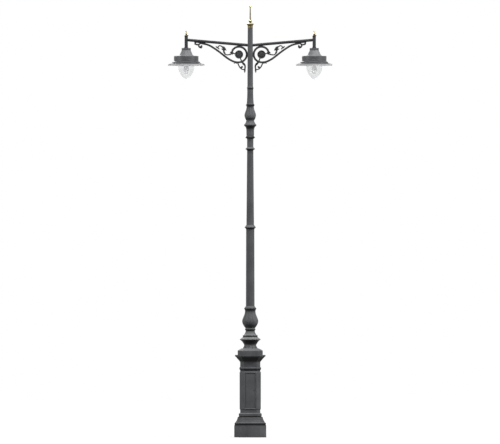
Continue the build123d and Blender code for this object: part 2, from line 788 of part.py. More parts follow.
reducer_flange = 8
with BuildPart() as core_reducer:
    plug_radius = core_radius - core_wall - grub_clearance
    turned(core_top, [(upper_core_radius + grub_clearance, -core_overlap), (plug_radius, -core_overlap),
                      (plug_radius, 0), (core_radius, 0), (core_radius, reducer_flange),
                      (upper_core_radius + grub_clearance, reducer_flange)])
core_reducer.part.label = "core_reducer"
export_step(core_reducer.part, "parts/core_reducer.step")

with BuildPart() as core_tube_upper:
    upper_core_low = core_top - core_overlap
    upper_core_high = finial_base - 2 * spigot_depth
    with BuildSketch(Plane.XY.offset(upper_core_low)):
        Circle(upper_core_radius)
        Circle(upper_core_radius - upper_core_wall, mode=Mode.SUBTRACT)
    extrude(amount=upper_core_high - upper_core_low)
    for side in sides.values():
        drilled((0, 0, arm_height), (side, 0, 0), wire_hole_radius, wire_reach)
core_tube_upper.part.label = "core_tube_upper"
export_step(core_tube_upper.part, "parts/core_tube_upper.step")

with BuildPart() as grub_screws:
    grub_set(middle_grub_level, core_radius + grub_clearance, middle_ring_radius)
    grub_set(spool_low_level, upper_core_radius + grub_clearance, spool_ring_radius)
    grub_set(top_ring_level, upper_core_radius + grub_clearance, top_ring_radius)
grub_screws.part.label = "grub_screws"
export_step(grub_screws.part, "parts/grub_screws.step")

# Brass finial: collar, saucer with a domed top, ball, spike and tip
saucer_height = 31
dome_height = 24
with BuildPart() as pole_finial:
    spigot_radius = top_tube_top - top_tube_wall - spigot_clearance
    saucer_low = finial_collar_height
    saucer_top = saucer_low + saucer_height
    ball_level = saucer_top + dome_height + 0.7 * finial_ball_radius
    spike_foot = ball_level + 0.8 * finial_ball_radius
    spike_end = 0.7 * finial_rod_radius
    tip_foot = finial_height - finial_tip_radius - sqrt(finial_tip_radius**2 - spike_end**2)
    with BuildSketch(section_plane(finial_base)):
        with BuildLine():
            Line((0, -spigot_depth), (spigot_radius, -spigot_depth))
            Line((spigot_radius, -spigot_depth), (spigot_radius, 0))
            Line((spigot_radius, 0), (finial_collar_radius, 0))
            Line((finial_collar_radius, 0), (finial_collar_radius, saucer_low))
            ThreePointArc((finial_collar_radius, saucer_low), (finial_collar_radius + 5, saucer_low + 14),
                          (finial_saucer_radius, saucer_top - 8))
            Line((finial_saucer_radius, saucer_top - 8), (finial_saucer_radius, saucer_top))
            ThreePointArc((finial_saucer_radius, saucer_top),
                          (0.66 * finial_saucer_radius, saucer_top + 14),
                          (0.55 * finial_ball_radius, saucer_top + dome_height))
            ThreePointArc((0.55 * finial_ball_radius, saucer_top + dome_height),
                          (finial_ball_radius, ball_level), (0.6 * finial_ball_radius, spike_foot))
            ThreePointArc((0.6 * finial_ball_radius, spike_foot), (finial_rod_radius + 1, spike_foot + 26),
                          (finial_rod_radius, spike_foot + 56))
            Line((finial_rod_radius, spike_foot + 56), (spike_end, tip_foot))
            ball_tip(spike_end, finial_tip_radius, finial_height)
            Line((0, finial_height), (0, -spigot_depth))
        make_face()
    revolve(axis=Axis.Z)
pole_finial.part.label = "pole_finial"
export_step(pole_finial.part, "parts/pole_finial.step")

# Backboard with the isolator, its glands and lever, and the earth stud
board_front = saddle_front + board_thickness
isolator_front = board_front + isolator_size[1]
with BuildPart() as backboard:
    with BuildSketch(panel_plane(saddle_front)):
        Rectangle(*board_size)
    extrude(amount=board_thickness)
backboard.part.label = "backboard"
export_step(backboard.part, "parts/backboard.step")

with BuildPart() as isolator_box:
    with Locations((0, -(board_front + isolator_size[1] / 2), panel_middle)):
        Box(*isolator_size)
    fillet(isolator_box.edges().filter_by(Axis.Z).group_by(Axis.Y)[0], 4)
    with Locations((0, -isolator_front + lever_slot[1] / 2, panel_middle)):
        Box(*lever_slot, mode=Mode.SUBTRACT)
isolator_box.part.label = "isolator_box"
export_step(isolator_box.part, "parts/isolator_box.step")

pivot_y = -isolator_front + lever_slot[1] - lever_radius - side_clearance
with BuildPart() as isolator_lever:
    pivot_length = lever_slot[0] - 2 * side_clearance
    rod((-pivot_length / 2, pivot_y, panel_middle), (1, 0, 0), lever_radius, pivot_length)
    lever_direction = (0, -cos(radians(lever_tilt)), sin(radians(lever_tilt)))
    with BuildSketch(Plane(origin=(0, pivot_y, panel_middle), x_dir=(1, 0, 0),
                           z_dir=lever_direction)) as handle:
        Rectangle(lever_width, lever_thickness)
    extrude(handle.sketch, amount=lever_length)
isolator_lever.part.label = "isolator_lever"
export_step(isolator_lever.part, "parts/isolator_lever.step")

gland_y = -(board_front + isolator_size[1] / 2)
gland_top = panel_middle - isolator_size[2] / 2
with BuildPart() as cable_glands:
    for gland_x in (-isolator_size[0] / 4, isolator_size[0] / 4):
        rod((gland_x, gland_y, gland_top), (0, 0, -1), gland_radius, gland_length)
        drilled((gland_x, gland_y, gland_top), (0, 0, -1), gland_radius / 2, gland_length)
cable_glands.part.label = "cable_glands"
export_step(cable_glands.part, "parts/cable_glands.step")

with BuildPart() as earth_stud:
    rod((stud_offset, -stud_offset / 2, plate_thickness), (0, 0, 1), stud_radius, stud_length)
    with BuildSketch(Plane.XY.offset(plate_thickness)) as nut:
        with Locations((stud_offset, -stud_offset / 2)):
            RegularPolygon(stud_nut_radius, 6)
    extrude(nut.sketch, amount=stud_nut_height)
earth_stud.part.label = "earth_stud"
export_step(earth_stud.part, "parts/earth_stud.step")


def arm_plane(side):
    """The bracket's plane: X runs out along the arm, Y up across it, origin on the pole's axis."""
    along = (side * cos(radians(arm_pitch)), 0, sin(radians(arm_pitch)))
    return Plane(origin=(0, 0, arm_height), x_dir=along, z_dir=(0, -side, 0))


def leaf(root, tip, width):
    """Draw a pointed leaf from its root to its tip, bowed to both sides."""
    root = Vector(*root)
    tip = Vector(*tip)
    across = (tip - root).rotate(Axis.Z, 90).normalized() * (width / 2)
    belly = root + (tip - root) * 0.4
    with BuildLine() as edge:
        ThreePointArc(root, belly + across, tip)
        ThreePointArc(tip, belly - across, root)
    make_face(edge.edges())


# Bracket centrelines, along and across the arm
ring_centre = (156, -(arm_radius + ring_radius + scroll_bar / 2))
ring_end_turn = 172
strap_points = [(248, -253), (317, -218), (375, -182), (446, -136), (509, -100), (572, -66), (630, -40),
                (700, -22)]
lower_curl = [(106, -266), (66, -282), (48, -308), (46, -350)]
thin_curl = [(160, -270), (134, -310), (106, -346), (76, -366), (52, -362)]
vine = [(264, -127), (300, -160), (345, -170), (385, -152), (393, -118), (378, -82), (400, -52),
        (436, -38), (468, -52), (484, -82)]
end_curl = [(826, -20), (824, -44), (800, -64), (770, -60), (752, -44)]
end_drop = [(764, -52), (748, -70), (737, -88)]
saddle_strip = [(676, -19), (826, -19)]
rosette_links = [[(236, -140), (200, -148)], [(128, -262), (140, -200)]]

for name, side in sides.items():
    plane = arm_plane(side)
    arm_length = arm_reach / cos(radians(arm_pitch))
    tube_axis = Plane(origin=(0, 0, arm_height), z_dir=plane.x_dir)

    # Arm tube, its ends shaped to the pole and the hub
    with BuildPart() as arm:
        with BuildSketch(tube_axis):
            Circle(arm_radius)
            Circle(arm_radius - arm_wall, mode=Mode.SUBTRACT)
        extrude(amount=arm_length)
        drilled((0, 0, arm_height - 3 * arm_radius), (0, 0, 1), pole_radius_at_arm + weld_gap,
                6 * arm_radius)
        drilled((side * arm_reach, 0, hub_height - 3 * arm_radius), (0, 0, 1), hub_radius + weld_gap,
                6 * arm_radius)
    arm.part.label = f"arm_{name}"
    export_step(arm.part, f"parts/arm_{name}.step")

    # Hub: drop pipe with a lock collar that bears on the lantern's neck
    with BuildPart() as hub:
        turned(hub_height, [(hub_radius - hub_wall, -hub_fall), (hub_collar_radius, -hub_fall),
                            (hub_collar_radius, hub_collar_height - hub_fall),
                            (hub_radius, hub_collar_height - hub_fall), (hub_radius, hub_rise),
                            (hub_radius - hub_wall, hub_rise)], offset=side * arm_reach)
        drilled((side * arm_reach, 0, hub_height), (-side, 0, 0), wire_hole_radius, 2 * hub_radius)
    hub.part.label = f"hub_{name}"
    export_step(hub.part, f"parts/hub_{name}.step")

    # Scroll bracket: ring, strap, curls, vine and leaves, cut clear of the arm and the pole
    with BuildPart() as scroll:
        with BuildSketch(plane) as bars:
            with BuildLine() as heavy:
                CenterArc(ring_centre, ring_radius, -90, -90 - ring_end_turn)
                ring_foot = (ring_centre[0], ring_centre[1] - ring_radius)
                Spline(ring_foot, *strap_points, tangents=((1, 0), (1, 0.1)))
            trace(heavy.edges(), scroll_bar)
            for curl in (lower_curl, thin_curl, vine, end_curl, end_drop):
                with BuildLine() as light:
                    Spline(*curl)
                trace(light.edges(), scroll_thin_bar)
            with BuildLine() as saddle:
                Line(*saddle_strip)
            trace(saddle.edges(), scroll_thin_bar)
        extrude(bars.sketch, amount=scroll_depth / 2, both=True)
        with BuildSketch(plane) as leaves:
            leaf((46, -340), (50, -418), 26)
            leaf((60, -366), (112, -330), 30)
            leaf((196, -268), (184, -300), 26)
            leaf((258, -108), (282, -176), 40)
            leaf((384, -130), (352, -72), 38)
            leaf((462, -40), (500, -96), 34)
            leaf((480, -80), (452, -28), 30)
            with Locations((736, -92)):
                Circle(17)
        extrude(leaves.sketch, amount=leaf_depth / 2, both=True)
        with BuildSketch(plane) as rosette_plate:
            with Locations(ring_centre):
                Circle(rosette_plate_radius)
            for link in rosette_links:
                with BuildLine() as stem:
                    Line(*link)
                trace(stem.edges(), scroll_thin_bar)
        extrude(rosette_plate.sketch, amount=rosette_plate_thickness / 2, both=True)
        with BuildSketch(tube_axis) as arm_clear:
            Circle(arm_radius + weld_gap)
        extrude(arm_clear.sketch, amount=arm_length, mode=Mode.SUBTRACT)
        turned(top_tube_base, [(0, 0), (top_tube_foot + weld_gap, 0),
                               (top_tube_top + weld_gap, top_tube_height), (0, top_tube_height)],
               mode=Mode.SUBTRACT)
    scroll.part.label = f"scroll_{name}"
    export_step(scroll.part, f"parts/scroll_{name}.step")

# Rosettes: a petalled boss on each face of each bracket's plate
with BuildPart() as rosettes:
    for side in sides.values():
        plane = arm_plane(side)
        centre = plane.from_local_coords(Vector(*ring_centre, 0))
        for facing in (-1, 1):
            face_plane = Plane(origin=centre + Vector(0, facing * rosette_plate_thickness / 2, 0),
                               x_dir=(1, 0, 0), z_dir=(0, facing, 0))
            with BuildSketch(face_plane) as disc:
                Circle(rosette_radius)
            extrude(disc.sketch, amount=rosette_thickness, taper=24)
            with BuildSketch(face_plane.offset(rosette_thickness - 1)) as boss:
                Circle(0.3 * rosette_radius)
            extrude(boss.sketch, amount=rosette_thickness / 2, taper=30)
            groove_plane = face_plane.offset(0.8 * rosette_thickness)
            with BuildSketch(groove_plane) as grooves:
                with PolarLocations(0.68 * rosette_radius, rosette_petals):
                    SlotOverall(0.5 * rosette_radius, 5)
            extrude(grooves.sketch, amount=rosette_thickness, mode=Mode.SUBTRACT)
rosettes.part.label = "rosettes"
export_step(rosettes.part, "parts/rosettes.step")

with BuildPart() as hub_finials:
    for side in sides.values():
        finial_spigot = hub_radius - hub_wall - spigot_clearance
        finial_neck = 0.35 * hub_finial_ball
        small_tip_foot = hub_finial_height - hub_finial_tip - sqrt(hub_finial_tip**2 - finial_neck**2)
        with BuildSketch(section_plane(hub_top, side * arm_reach)) as half:
            with BuildLine():
                Line((0, -0.5 * spigot_depth), (finial_spigot, -0.5 * spigot_depth))
                Line((finial_spigot, -0.5 * spigot_depth), (finial_spigot, 0))
                Line((finial_spigot, 0), (hub_radius, 0))
                Line((hub_radius, 0), (hub_finial_saucer, 14))
                Line((hub_finial_saucer, 14), (hub_finial_saucer, 20))
                ThreePointArc((hub_finial_saucer, 20), (20, 25), (12, 28))
                ThreePointArc((12, 28), (hub_finial_ball, 40), (finial_neck + 2, 54))
                Line((finial_neck + 2, 54), (finial_neck, small_tip_foot))
                ball_tip(finial_neck, hub_finial_tip, hub_finial_height)
                Line((0, hub_finial_height), (0, -0.5 * spigot_depth))
            make_face()
        revolve(half.sketch, axis=Axis((side * arm_reach, 0, 0), (0, 0, 1)))
hub_finials.part.label = "hub_finials"
export_step(hub_finials.part, "parts/hub_finials.step")

# Lantern levels, below the canopy's flange
annulus_low = shade_top - shade_wall
ring_top = annulus_low - gasket_thickness
ring_low = ring_top - bowl_ring_height
hinge_level = ring_low + knuckle_radius
bowl_shoulder = ring_low + bowl_ring_ledge
knob_y = -bowl_hinge_reach
ear_inner = knuckle_width / 2 + knuckle_clearance
ear_reach = ear_inner + ear_width
screw_turns = (45, 165, 285)

for name, side in sides.items():
    lantern_x = side * arm_reach
    lantern_axis = Axis((lantern_x, 0, 0), (0, 0, 1))

    # Neck: banded top, cone and a flared foot, hollow for the wires
    with BuildPart() as lantern_neck:
        inner_foot = lantern_neck_foot - 24
        band_low = lantern_neck_height - lantern_neck_band
        turned(canopy_top, [(0, 0), (lantern_neck_foot, 0), (lantern_neck_foot - 2, 4),
                            (lantern_neck_foot - 19, 17), (lantern_neck_radius + 3, band_low - 8),
                            (lantern_neck_radius, band_low),
                            (lantern_neck_radius, lantern_neck_height - 3),
                            (lantern_neck_radius - 3, lantern_neck_height), (0, lantern_neck_height)],
               offset=lantern_x)
        turned(canopy_top, [(0, 0), (inner_foot, 0), (lantern_neck_radius - lantern_skin, band_low - 13),
                            (lantern_neck_radius - lantern_skin, lantern_neck_height - lantern_skin),
                            (0, lantern_neck_height - lantern_skin)], offset=lantern_x, mode=Mode.SUBTRACT)
        drilled((lantern_x, 0, canopy_top), (0, 0, 1), wire_hole_radius, lantern_neck_height)
    lantern_neck.part.label = f"lantern_neck_{name}"
    export_step(lantern_neck.part, f"parts/lantern_neck_{name}.step")

    # Canopy: cylindrical housing with a groove round it and a flange below
    with BuildPart() as canopy:
        groove_mid = canopy_height - canopy_groove_drop
        turned(shade_top, [(0, 0), (canopy_flange_radius, 0),
                           (canopy_flange_radius, canopy_flange_height / 2),
                           (canopy_radius, canopy_flange_height),
                           (canopy_radius, groove_mid - canopy_groove),
                           (canopy_radius - canopy_groove / 2, groove_mid),
                           (canopy_radius, groove_mid + canopy_groove), (canopy_radius, canopy_height - 6),
                           (canopy_radius - 6, canopy_height), (0, canopy_height)], offset=lantern_x)
        turned(shade_top, [(0, 0), (canopy_radius - 2 * canopy_wall, 0),
                           (canopy_radius - 2 * canopy_wall, canopy_height - canopy_wall),
                           (0, canopy_height - canopy_wall)], offset=lantern_x, mode=Mode.SUBTRACT)
        drilled((lantern_x, 0, shade_top), (0, 0, 1), wire_hole_radius, canopy_height)
        for turn in screw_turns:
            drilled((lantern_x + shade_screw_circle * cos(radians(turn)),
                     shade_screw_circle * sin(radians(turn)), shade_top), (0, 0, 1),
                    shade_screw_radius + grub_clearance, shade_screw_depth + 1)
    canopy.part.label = f"canopy_{name}"
    export_step(canopy.part, f"parts/canopy_{name}.step")

    # Shade: flat annulus under the flange, shallow cone and upright lip, with the hinge ears
    with BuildPart() as shade:
        lip_high = shade_lip - shade_drop
        turned(shade_top, [(shade_mouth_radius, -shade_wall), (shade_mouth_radius, 0),
                           (canopy_flange_radius, 0), (shade_radius - shade_bevel, lip_high + shade_bevel),
                           (shade_radius, lip_high), (shade_radius, -shade_drop),
                           (shade_radius - shade_wall, -shade_drop),
                           (shade_radius - shade_wall, lip_high - shade_wall / 3),
                           (shade_radius - shade_bevel - shade_wall / 2,
                            lip_high + shade_bevel - shade_wall),
                           (canopy_flange_radius - shade_wall / 3, -shade_wall)], offset=lantern_x)
        for ear_low in (-ear_reach, ear_inner):
            with BuildSketch(Plane(origin=(lantern_x + ear_low, 0, 0), x_dir=(0, 1, 0),
                                   z_dir=(1, 0, 0))) as ear_outline:
                with Locations((bowl_hinge_reach, hinge_level)):
                    Circle(knuckle_radius)
                with Locations((bowl_hinge_reach, (hinge_level + annulus_low) / 2)):
                    Rectangle(2 * knuckle_radius, annulus_low - hinge_level)
            extrude(ear_outline.sketch, amount=ear_width)
        drilled((lantern_x - ear_reach, bowl_hinge_reach, hinge_level), (1, 0, 0),
                hinge_pin_radius + running_clearance, 2 * ear_reach)
        drilled((lantern_x, knob_y, annulus_low), (0, 0, 1), knob_shank_radius + knob_hole_clearance,
                shade_wall)
        for turn in screw_turns:
            drilled((lantern_x + shade_screw_circle * cos(radians(turn)),
                     shade_screw_circle * sin(radians(turn)), annulus_low), (0, 0, 1),
                    shade_screw_radius + grub_clearance, shade_wall)
    shade.part.label = f"shade_{name}"
    export_step(shade.part, f"parts/shade_{name}.step")

    # Bowl ring: rebated for the glass, with a knuckle behind and the screw's lug in front
    with BuildPart() as bowl_ring:
        ledge_radius = bowl_radius + bowl_clearance
        rebate_radius = ledge_radius + bowl_flange
        root = bowl_ring_radius - root_overlap
        turned(ring_low, [(ledge_radius, 0), (bowl_ring_radius, 0), (bowl_ring_radius, bowl_ring_height),
                          (rebate_radius, bowl_ring_height), (rebate_radius, bowl_ring_ledge),
                          (ledge_radius, bowl_ring_ledge)], offset=lantern_x)
        with BuildSketch(Plane(origin=(lantern_x - knuckle_width / 2, 0, 0), x_dir=(0, 1, 0),
                               z_dir=(1, 0, 0))) as knuckle:
            with Locations((bowl_hinge_reach, hinge_level)):
                Circle(knuckle_radius)
            with Locations(((bowl_hinge_reach + root) / 2, hinge_level)):
                Rectangle(bowl_hinge_reach - root, 2 * knuckle_radius)
        extrude(knuckle.sketch, amount=knuckle_width)
        with BuildSketch(Plane.XY.offset(ring_low)) as lug:
            with Locations((lantern_x, knob_y)):
                Circle(knob_radius)
            with Locations((lantern_x, (knob_y - root) / 2)):
                Rectangle(2 * knob_radius, -knob_y - root)
        extrude(lug.sketch, amount=lug_height)
        drilled((lantern_x - ear_reach, bowl_hinge_reach, hinge_level), (1, 0, 0),
                hinge_pin_radius + running_clearance, 2 * ear_reach)
        drilled((lantern_x, knob_y, ring_low), (0, 0, 1), knob_shank_radius + running_clearance,
                bowl_ring_height)
    bowl_ring.part.label = f"bowl_ring_{name}"
    export_step(bowl_ring.part, f"parts/bowl_ring_{name}.step")

    # Glass bowl: a flange on the ring's ledge, an upright band and a pointed belly
    with BuildPart() as glass_bowl:
        band_drop = 0.29 * bowl_depth
        knee_drop = 0.81 * bowl_depth
        knee_radius = 0.5 * bowl_radius
        inner_radius = bowl_radius - bowl_wall
        flange_radius = bowl_radius + bowl_flange
        with BuildSketch(section_plane(bowl_shoulder, lantern_x)) as half:
            with BuildLine():
                Line((inner_radius, bowl_flange_thickness), (flange_radius, bowl_flange_thickness))
                Line((flange_radius, bowl_flange_thickness), (flange_radius, 0))
                Line((flange_radius, 0), (bowl_radius, 0))
                Line((bowl_radius, 0), (bowl_radius - 1, -band_drop))
                Spline((bowl_radius - 1, -band_drop), (0.83 * bowl_radius, -0.55 * bowl_depth),
                       (knee_radius, -knee_drop), (0, -bowl_depth), tangents=((0, -1), (-1, 0)))
                Line((0, -bowl_depth), (0, -bowl_depth + bowl_wall))
                Spline((0, -bowl_depth + bowl_wall),
                       (knee_radius - 0.7 * bowl_wall, -knee_drop + 0.8 * bowl_wall),
                       (0.83 * bowl_radius - 0.85 * bowl_wall, -0.55 * bowl_depth + 0.5 * bowl_wall),
                       (inner_radius - 1, -band_drop), tangents=((1, 0), (0, 1)))
                Line((inner_radius - 1, -band_drop), (inner_radius, bowl_flange_thickness))
            make_face()
        revolve(half.sketch, axis=lantern_axis)
    glass_bowl.part.label = f"glass_bowl_{name}"
    export_step(glass_bowl.part, f"parts/glass_bowl_{name}.step")

    # Quarter-turn screw: a hexagonal knob below the lug, its shank through ring and shade
    with BuildPart() as bowl_screw:
        with BuildSketch(Plane.XY.offset(ring_low - knob_height - side_clearance)) as knob:
            with Locations((lantern_x, knob_y)):
                RegularPolygon(knob_radius, 6)
        extrude(knob.sketch, amount=knob_height)
        rod((lantern_x, knob_y, ring_low - knob_height), (0, 0, 1), knob_shank_radius,
            shade_top - side_clearance - ring_low + knob_height)
    bowl_screw.part.label = f"bowl_screw_{name}"
    export_step(bowl_screw.part, f"parts/bowl_screw_{name}.step")

# Pieces that both lanterns hold alike, each in one file with its twin
holder_top = canopy_top - canopy_wall
holder_low = holder_top - lampholder_length
socket_depth = lamp_cap_length - 6
cap_low = holder_low + socket_depth - lamp_cap_length
with BuildPart() as reflectors:
    for side in sides.values():
        shoulder_x = 0.62 * shade_mouth_radius
        shoulder_z = 0.72 * reflector_rise
        turned(shade_top, [(shade_mouth_radius, 0), (shade_mouth_radius + reflector_rim, 0),
                           (shade_mouth_radius + reflector_rim, reflector_wall),
                           (shade_mouth_radius, reflector_wall), (shoulder_x, shoulder_z),
                           (reflector_neck, reflector_rise),
                           (reflector_neck, reflector_rise - reflector_wall),
                           (shoulder_x - 1, shoulder_z - reflector_wall)], offset=side * arm_reach)
reflectors.part.label = "reflectors"
export_step(reflectors.part, "parts/reflectors.step")

with BuildPart() as gear_trays:
    for side in sides.values():
        lantern_x = side * arm_reach
        with BuildSketch(Plane.XY.offset(holder_top)) as plate:
            with Locations((lantern_x, 0)):
                Circle(gear_plate_radius)
                Circle(lampholder_radius + sleeve_clearance, mode=Mode.SUBTRACT)
        extrude(plate.sketch, amount=-gear_plate_thickness)
        with Locations((lantern_x, gear_box_offset, holder_top - gear_plate_thickness - gear_box[2] / 2)):
            Box(*gear_box)
gear_trays.part.label = "gear_trays"
export_step(gear_trays.part, "parts/gear_trays.step")

with BuildPart() as lampholders:
    for side in sides.values():
        lantern_x = side * arm_reach
        rod((lantern_x, 0, holder_low), (0, 0, 1), lampholder_radius, lampholder_length)
        drilled((lantern_x, 0, holder_low), (0, 0, 1), lamp_cap_radius + side_clearance, socket_depth)
        drilled((lantern_x, 0, holder_low), (0, 0, 1), wire_hole_radius, lampholder_length)
lampholders.part.label = "lampholders"
export_step(lampholders.part, "parts/lampholders.step")

with BuildPart() as lamp_caps:
    for side in sides.values():
        rod((side * arm_reach, 0, cap_low), (0, 0, 1), lamp_cap_radius, lamp_cap_length)
lamp_caps.part.label = "lamp_caps"
export_step(lamp_caps.part, "parts/lamp_caps.step")

with BuildPart() as lamps:
    for side in sides.values():
        lantern_x = side * arm_reach
        with BuildSketch(section_plane(cap_low, lantern_x)) as half:
            with BuildLine():
                Line((0, 0), (0.9 * lamp_cap_radius, 0))
                Spline((0.9 * lamp_cap_radius, 0), (0.62 * lamp_radius, -0.22 * lamp_length),
                       (lamp_radius, -0.58 * lamp_length), (0, -lamp_length),
                       tangents=((0, -1), (-1, 0)))
                Line((0, -lamp_length), (0, 0))
            make_face()
        revolve(half.sketch, axis=Axis((lantern_x, 0, 0), (0, 0, 1)))
lamps.part.label = "lamps"
export_step(lamps.part, "parts/lamps.step")

with BuildPart() as bowl_gaskets:
    for side in sides.values():
        with BuildSketch(Plane.XY.offset(annulus_low)) as seal:
            with Locations((side * arm_reach, 0)):
                Circle(bowl_ring_radius - 2)
                Circle(shade_mouth_radius + 2, mode=Mode.SUBTRACT)
        extrude(seal.sketch, amount=-(gasket_thickness - side_clearance))
bowl_gaskets.part.label = "bowl_gaskets"
export_step(bowl_gaskets.part, "parts/bowl_gaskets.step")

with BuildPart() as ring_hinge_pins:
    for side in sides.values():
        rod((side * arm_reach - ear_reach, bowl_hinge_reach, hinge_level), (1, 0, 0), hinge_pin_radius,
            2 * ear_reach)
ring_hinge_pins.part.label = "ring_hinge_pins"
export_step(ring_hinge_pins.part, "parts/ring_hinge_pins.step")

with BuildPart() as shade_screws:
    for side in sides.values():
        for turn in screw_turns:
            screw_x = side * arm_reach + shade_screw_circle * cos(radians(turn))
            screw_y = shade_screw_circle * sin(radians(turn))
            rod((screw_x, screw_y, annulus_low), (0, 0, -1), 1.8 * shade_screw_radius, shade_screw_radius)
            rod((screw_x, screw_y, annulus_low), (0, 0, 1), shade_screw_radius,
                shade_wall + shade_screw_depth)
shade_screws.part.label = "shade_screws"
export_step(shade_screws.part, "parts/shade_screws.step")
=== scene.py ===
# %% [markdown]
# # Dressing a double arm pole light
#
# The real object is a street column about six and a half metres high: a cast pedestal, a stack of
# turned castings round a steel core, and two arms that end in hooded lanterns. The engineering
# model already holds every piece at its true size and place. This lesson keeps those pieces where
# they are, gives each a finish, and models again the few that need a hand's touch: the scroll
# brackets with their leaves, the rosettes and the ribbed glass bowls.
#
# The first step loads the model and bakes each piece's place into its mesh.

# %% Load the engineering model
import json
import math

import bpy
from mathutils import Matrix, Vector


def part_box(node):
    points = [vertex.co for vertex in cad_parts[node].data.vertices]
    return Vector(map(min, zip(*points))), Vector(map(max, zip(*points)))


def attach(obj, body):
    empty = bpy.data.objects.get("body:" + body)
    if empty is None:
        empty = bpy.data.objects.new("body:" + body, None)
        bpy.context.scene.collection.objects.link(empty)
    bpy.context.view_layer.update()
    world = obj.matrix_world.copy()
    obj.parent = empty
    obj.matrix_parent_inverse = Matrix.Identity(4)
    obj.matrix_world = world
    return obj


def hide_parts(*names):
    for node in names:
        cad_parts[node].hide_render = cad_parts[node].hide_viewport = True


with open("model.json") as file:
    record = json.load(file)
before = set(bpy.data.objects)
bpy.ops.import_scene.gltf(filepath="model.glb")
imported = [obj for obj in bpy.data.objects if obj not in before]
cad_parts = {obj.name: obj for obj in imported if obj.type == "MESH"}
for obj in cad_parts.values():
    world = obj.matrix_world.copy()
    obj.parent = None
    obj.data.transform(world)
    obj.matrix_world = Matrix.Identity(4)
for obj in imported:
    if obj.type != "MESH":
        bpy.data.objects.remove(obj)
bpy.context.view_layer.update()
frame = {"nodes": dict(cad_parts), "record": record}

# %% [markdown]
# ## Working habits
#
# Every operator acts on whatever is selected, so each step first clears the selection and then
# chooses its own object. These helpers say that in one word each. Points are picked by
# where they lie, the way one would box-select them on screen.

# %% Helpers for selecting and placing
def clear_selection():
    """Leave edit mode and deselect every object."""
    if bpy.context.object and bpy.context.object.mode != "OBJECT":
        bpy.ops.object.mode_set(mode="OBJECT")
    bpy.ops.object.select_all(action="DESELECT")


def only(piece):
    """Select one object and make it the active one."""
    clear_selection()
    piece.select_set(True)
    bpy.context.view_layer.objects.active = piece


def select_points(piece, wanted):
    """In edit mode, select just the points whose place passes the test."""
    bpy.ops.object.mode_set(mode="OBJECT")
    for group in (piece.data.vertices, piece.data.edges, piece.data.polygons):
        group.foreach_set("select", [False] * len(group))
    for point in piece.data.vertices:
        point.select = wanted(point.co)
    bpy.ops.object.mode_set(mode="EDIT")
    bpy.ops.mesh.select_mode(type="VERT")


def settle(piece):
    """Bake the object's place, turn and scale into its mesh."""
    only(piece)
    bpy.ops.object.transform_apply(location=True, rotation=True, scale=True)


def join(pieces, name):
    """Join several meshes into one piece and name it."""
    clear_selection()
    for piece in pieces:
        piece.select_set(True)
    bpy.context.view_layer.objects.active = pieces[0]
    bpy.ops.object.join()
    pieces[0].name = name
    return pieces[0]


def twin(piece):
    """Copy a piece together with its mesh."""
    copy = piece.copy()
    copy.data = piece.data.copy()
    bpy.context.scene.collection.objects.link(copy)
    return copy


# %% [markdown]
# ## Measures taken from the model
#
# What we model again has to sit exactly where the engineering piece sits. So the arm's height,
# slope and reach below are the real ones, and the box of the model's own bowl gives its levels.
# Lengths are in metres.

# %% The arm's place and the bowl's levels
arm_height = 5.878
arm_pitch = math.radians(4.9)
reach = 0.96
bowl_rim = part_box("glass_bowl_right")[1].z
bowl_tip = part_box("glass_bowl_right")[0].z
print("bowl from", round(bowl_rim, 4), "down to", round(bowl_tip, 4))

# %% [markdown]
# ## Finishes
#
# Each finish is a small network of nodes. All of them start alike: the point's place on the object
# feeds a noise pattern, and that pattern shifts the colour, the roughness and a very fine bump.
# Reading the place in metres keeps the pattern's scale true on every piece, small or tall.
# An image could do this too, but a pattern from nodes has no seams and no limit of resolution.
# Noise seldom strays far from one half, so the helpers spread out only the middle of its range.

# %% Helpers that build a finish
tone_from, tone_to = 0.35, 0.65
rough_from, rough_to = 0.3, 0.7
bump_strength = 0.5


def start_finish(name):
    """A new material with its nodes, its links and its Principled shader."""
    finish = bpy.data.materials.new(name)
    finish.use_nodes = True
    nodes = finish.node_tree.nodes
    links = finish.node_tree.links
    return finish, nodes, links, nodes["Principled BSDF"]


def noise_at(nodes, links, scale, detail, stretch=(1, 1, 1)):
    """Noise read at the object's own coordinates, stretched where the pattern should run."""
    place = nodes.new("ShaderNodeTexCoord")
    mapping = nodes.new("ShaderNodeMapping")
    mapping.inputs["Scale"].default_value = stretch
    pattern = nodes.new("ShaderNodeTexNoise")
    pattern.inputs["Scale"].default_value = scale
    pattern.inputs["Detail"].default_value = detail
    links.new(place.outputs["Object"], mapping.inputs["Vector"])
    links.new(mapping.outputs["Vector"], pattern.inputs["Vector"])
    return pattern.outputs["Fac"]


def ramp(nodes, links, source, dark, light):
    """Turn a pattern into a colour that runs between two tones."""
    shades = nodes.new("ShaderNodeValToRGB")
    first, last = shades.color_ramp.elements
    first.position = tone_from
    first.color = (*dark, 1)
    last.position = tone_to
    last.color = (*light, 1)
    links.new(source, shades.inputs["Fac"])
    return shades.outputs["Color"]


def spread(nodes, links, source, low, high):
    """Turn a pattern into a number between two limits."""
    limits = nodes.new("ShaderNodeMapRange")
    limits.inputs["From Min"].default_value = rough_from
    limits.inputs["From Max"].default_value = rough_to
    limits.inputs["To Min"].default_value = low
    limits.inputs["To Max"].default_value = high
    links.new(source, limits.inputs["Value"])
    return limits.outputs["Result"]


def grain(nodes, links, shader, source, depth):
    """Raise and sink the surface by a pattern, in metres."""
    bump = nodes.new("ShaderNodeBump")
    bump.inputs["Distance"].default_value = depth
    bump.inputs["Strength"].default_value = bump_strength
    links.new(source, bump.inputs["Height"])
    links.new(bump.outputs["Normal"], shader.inputs["Normal"])
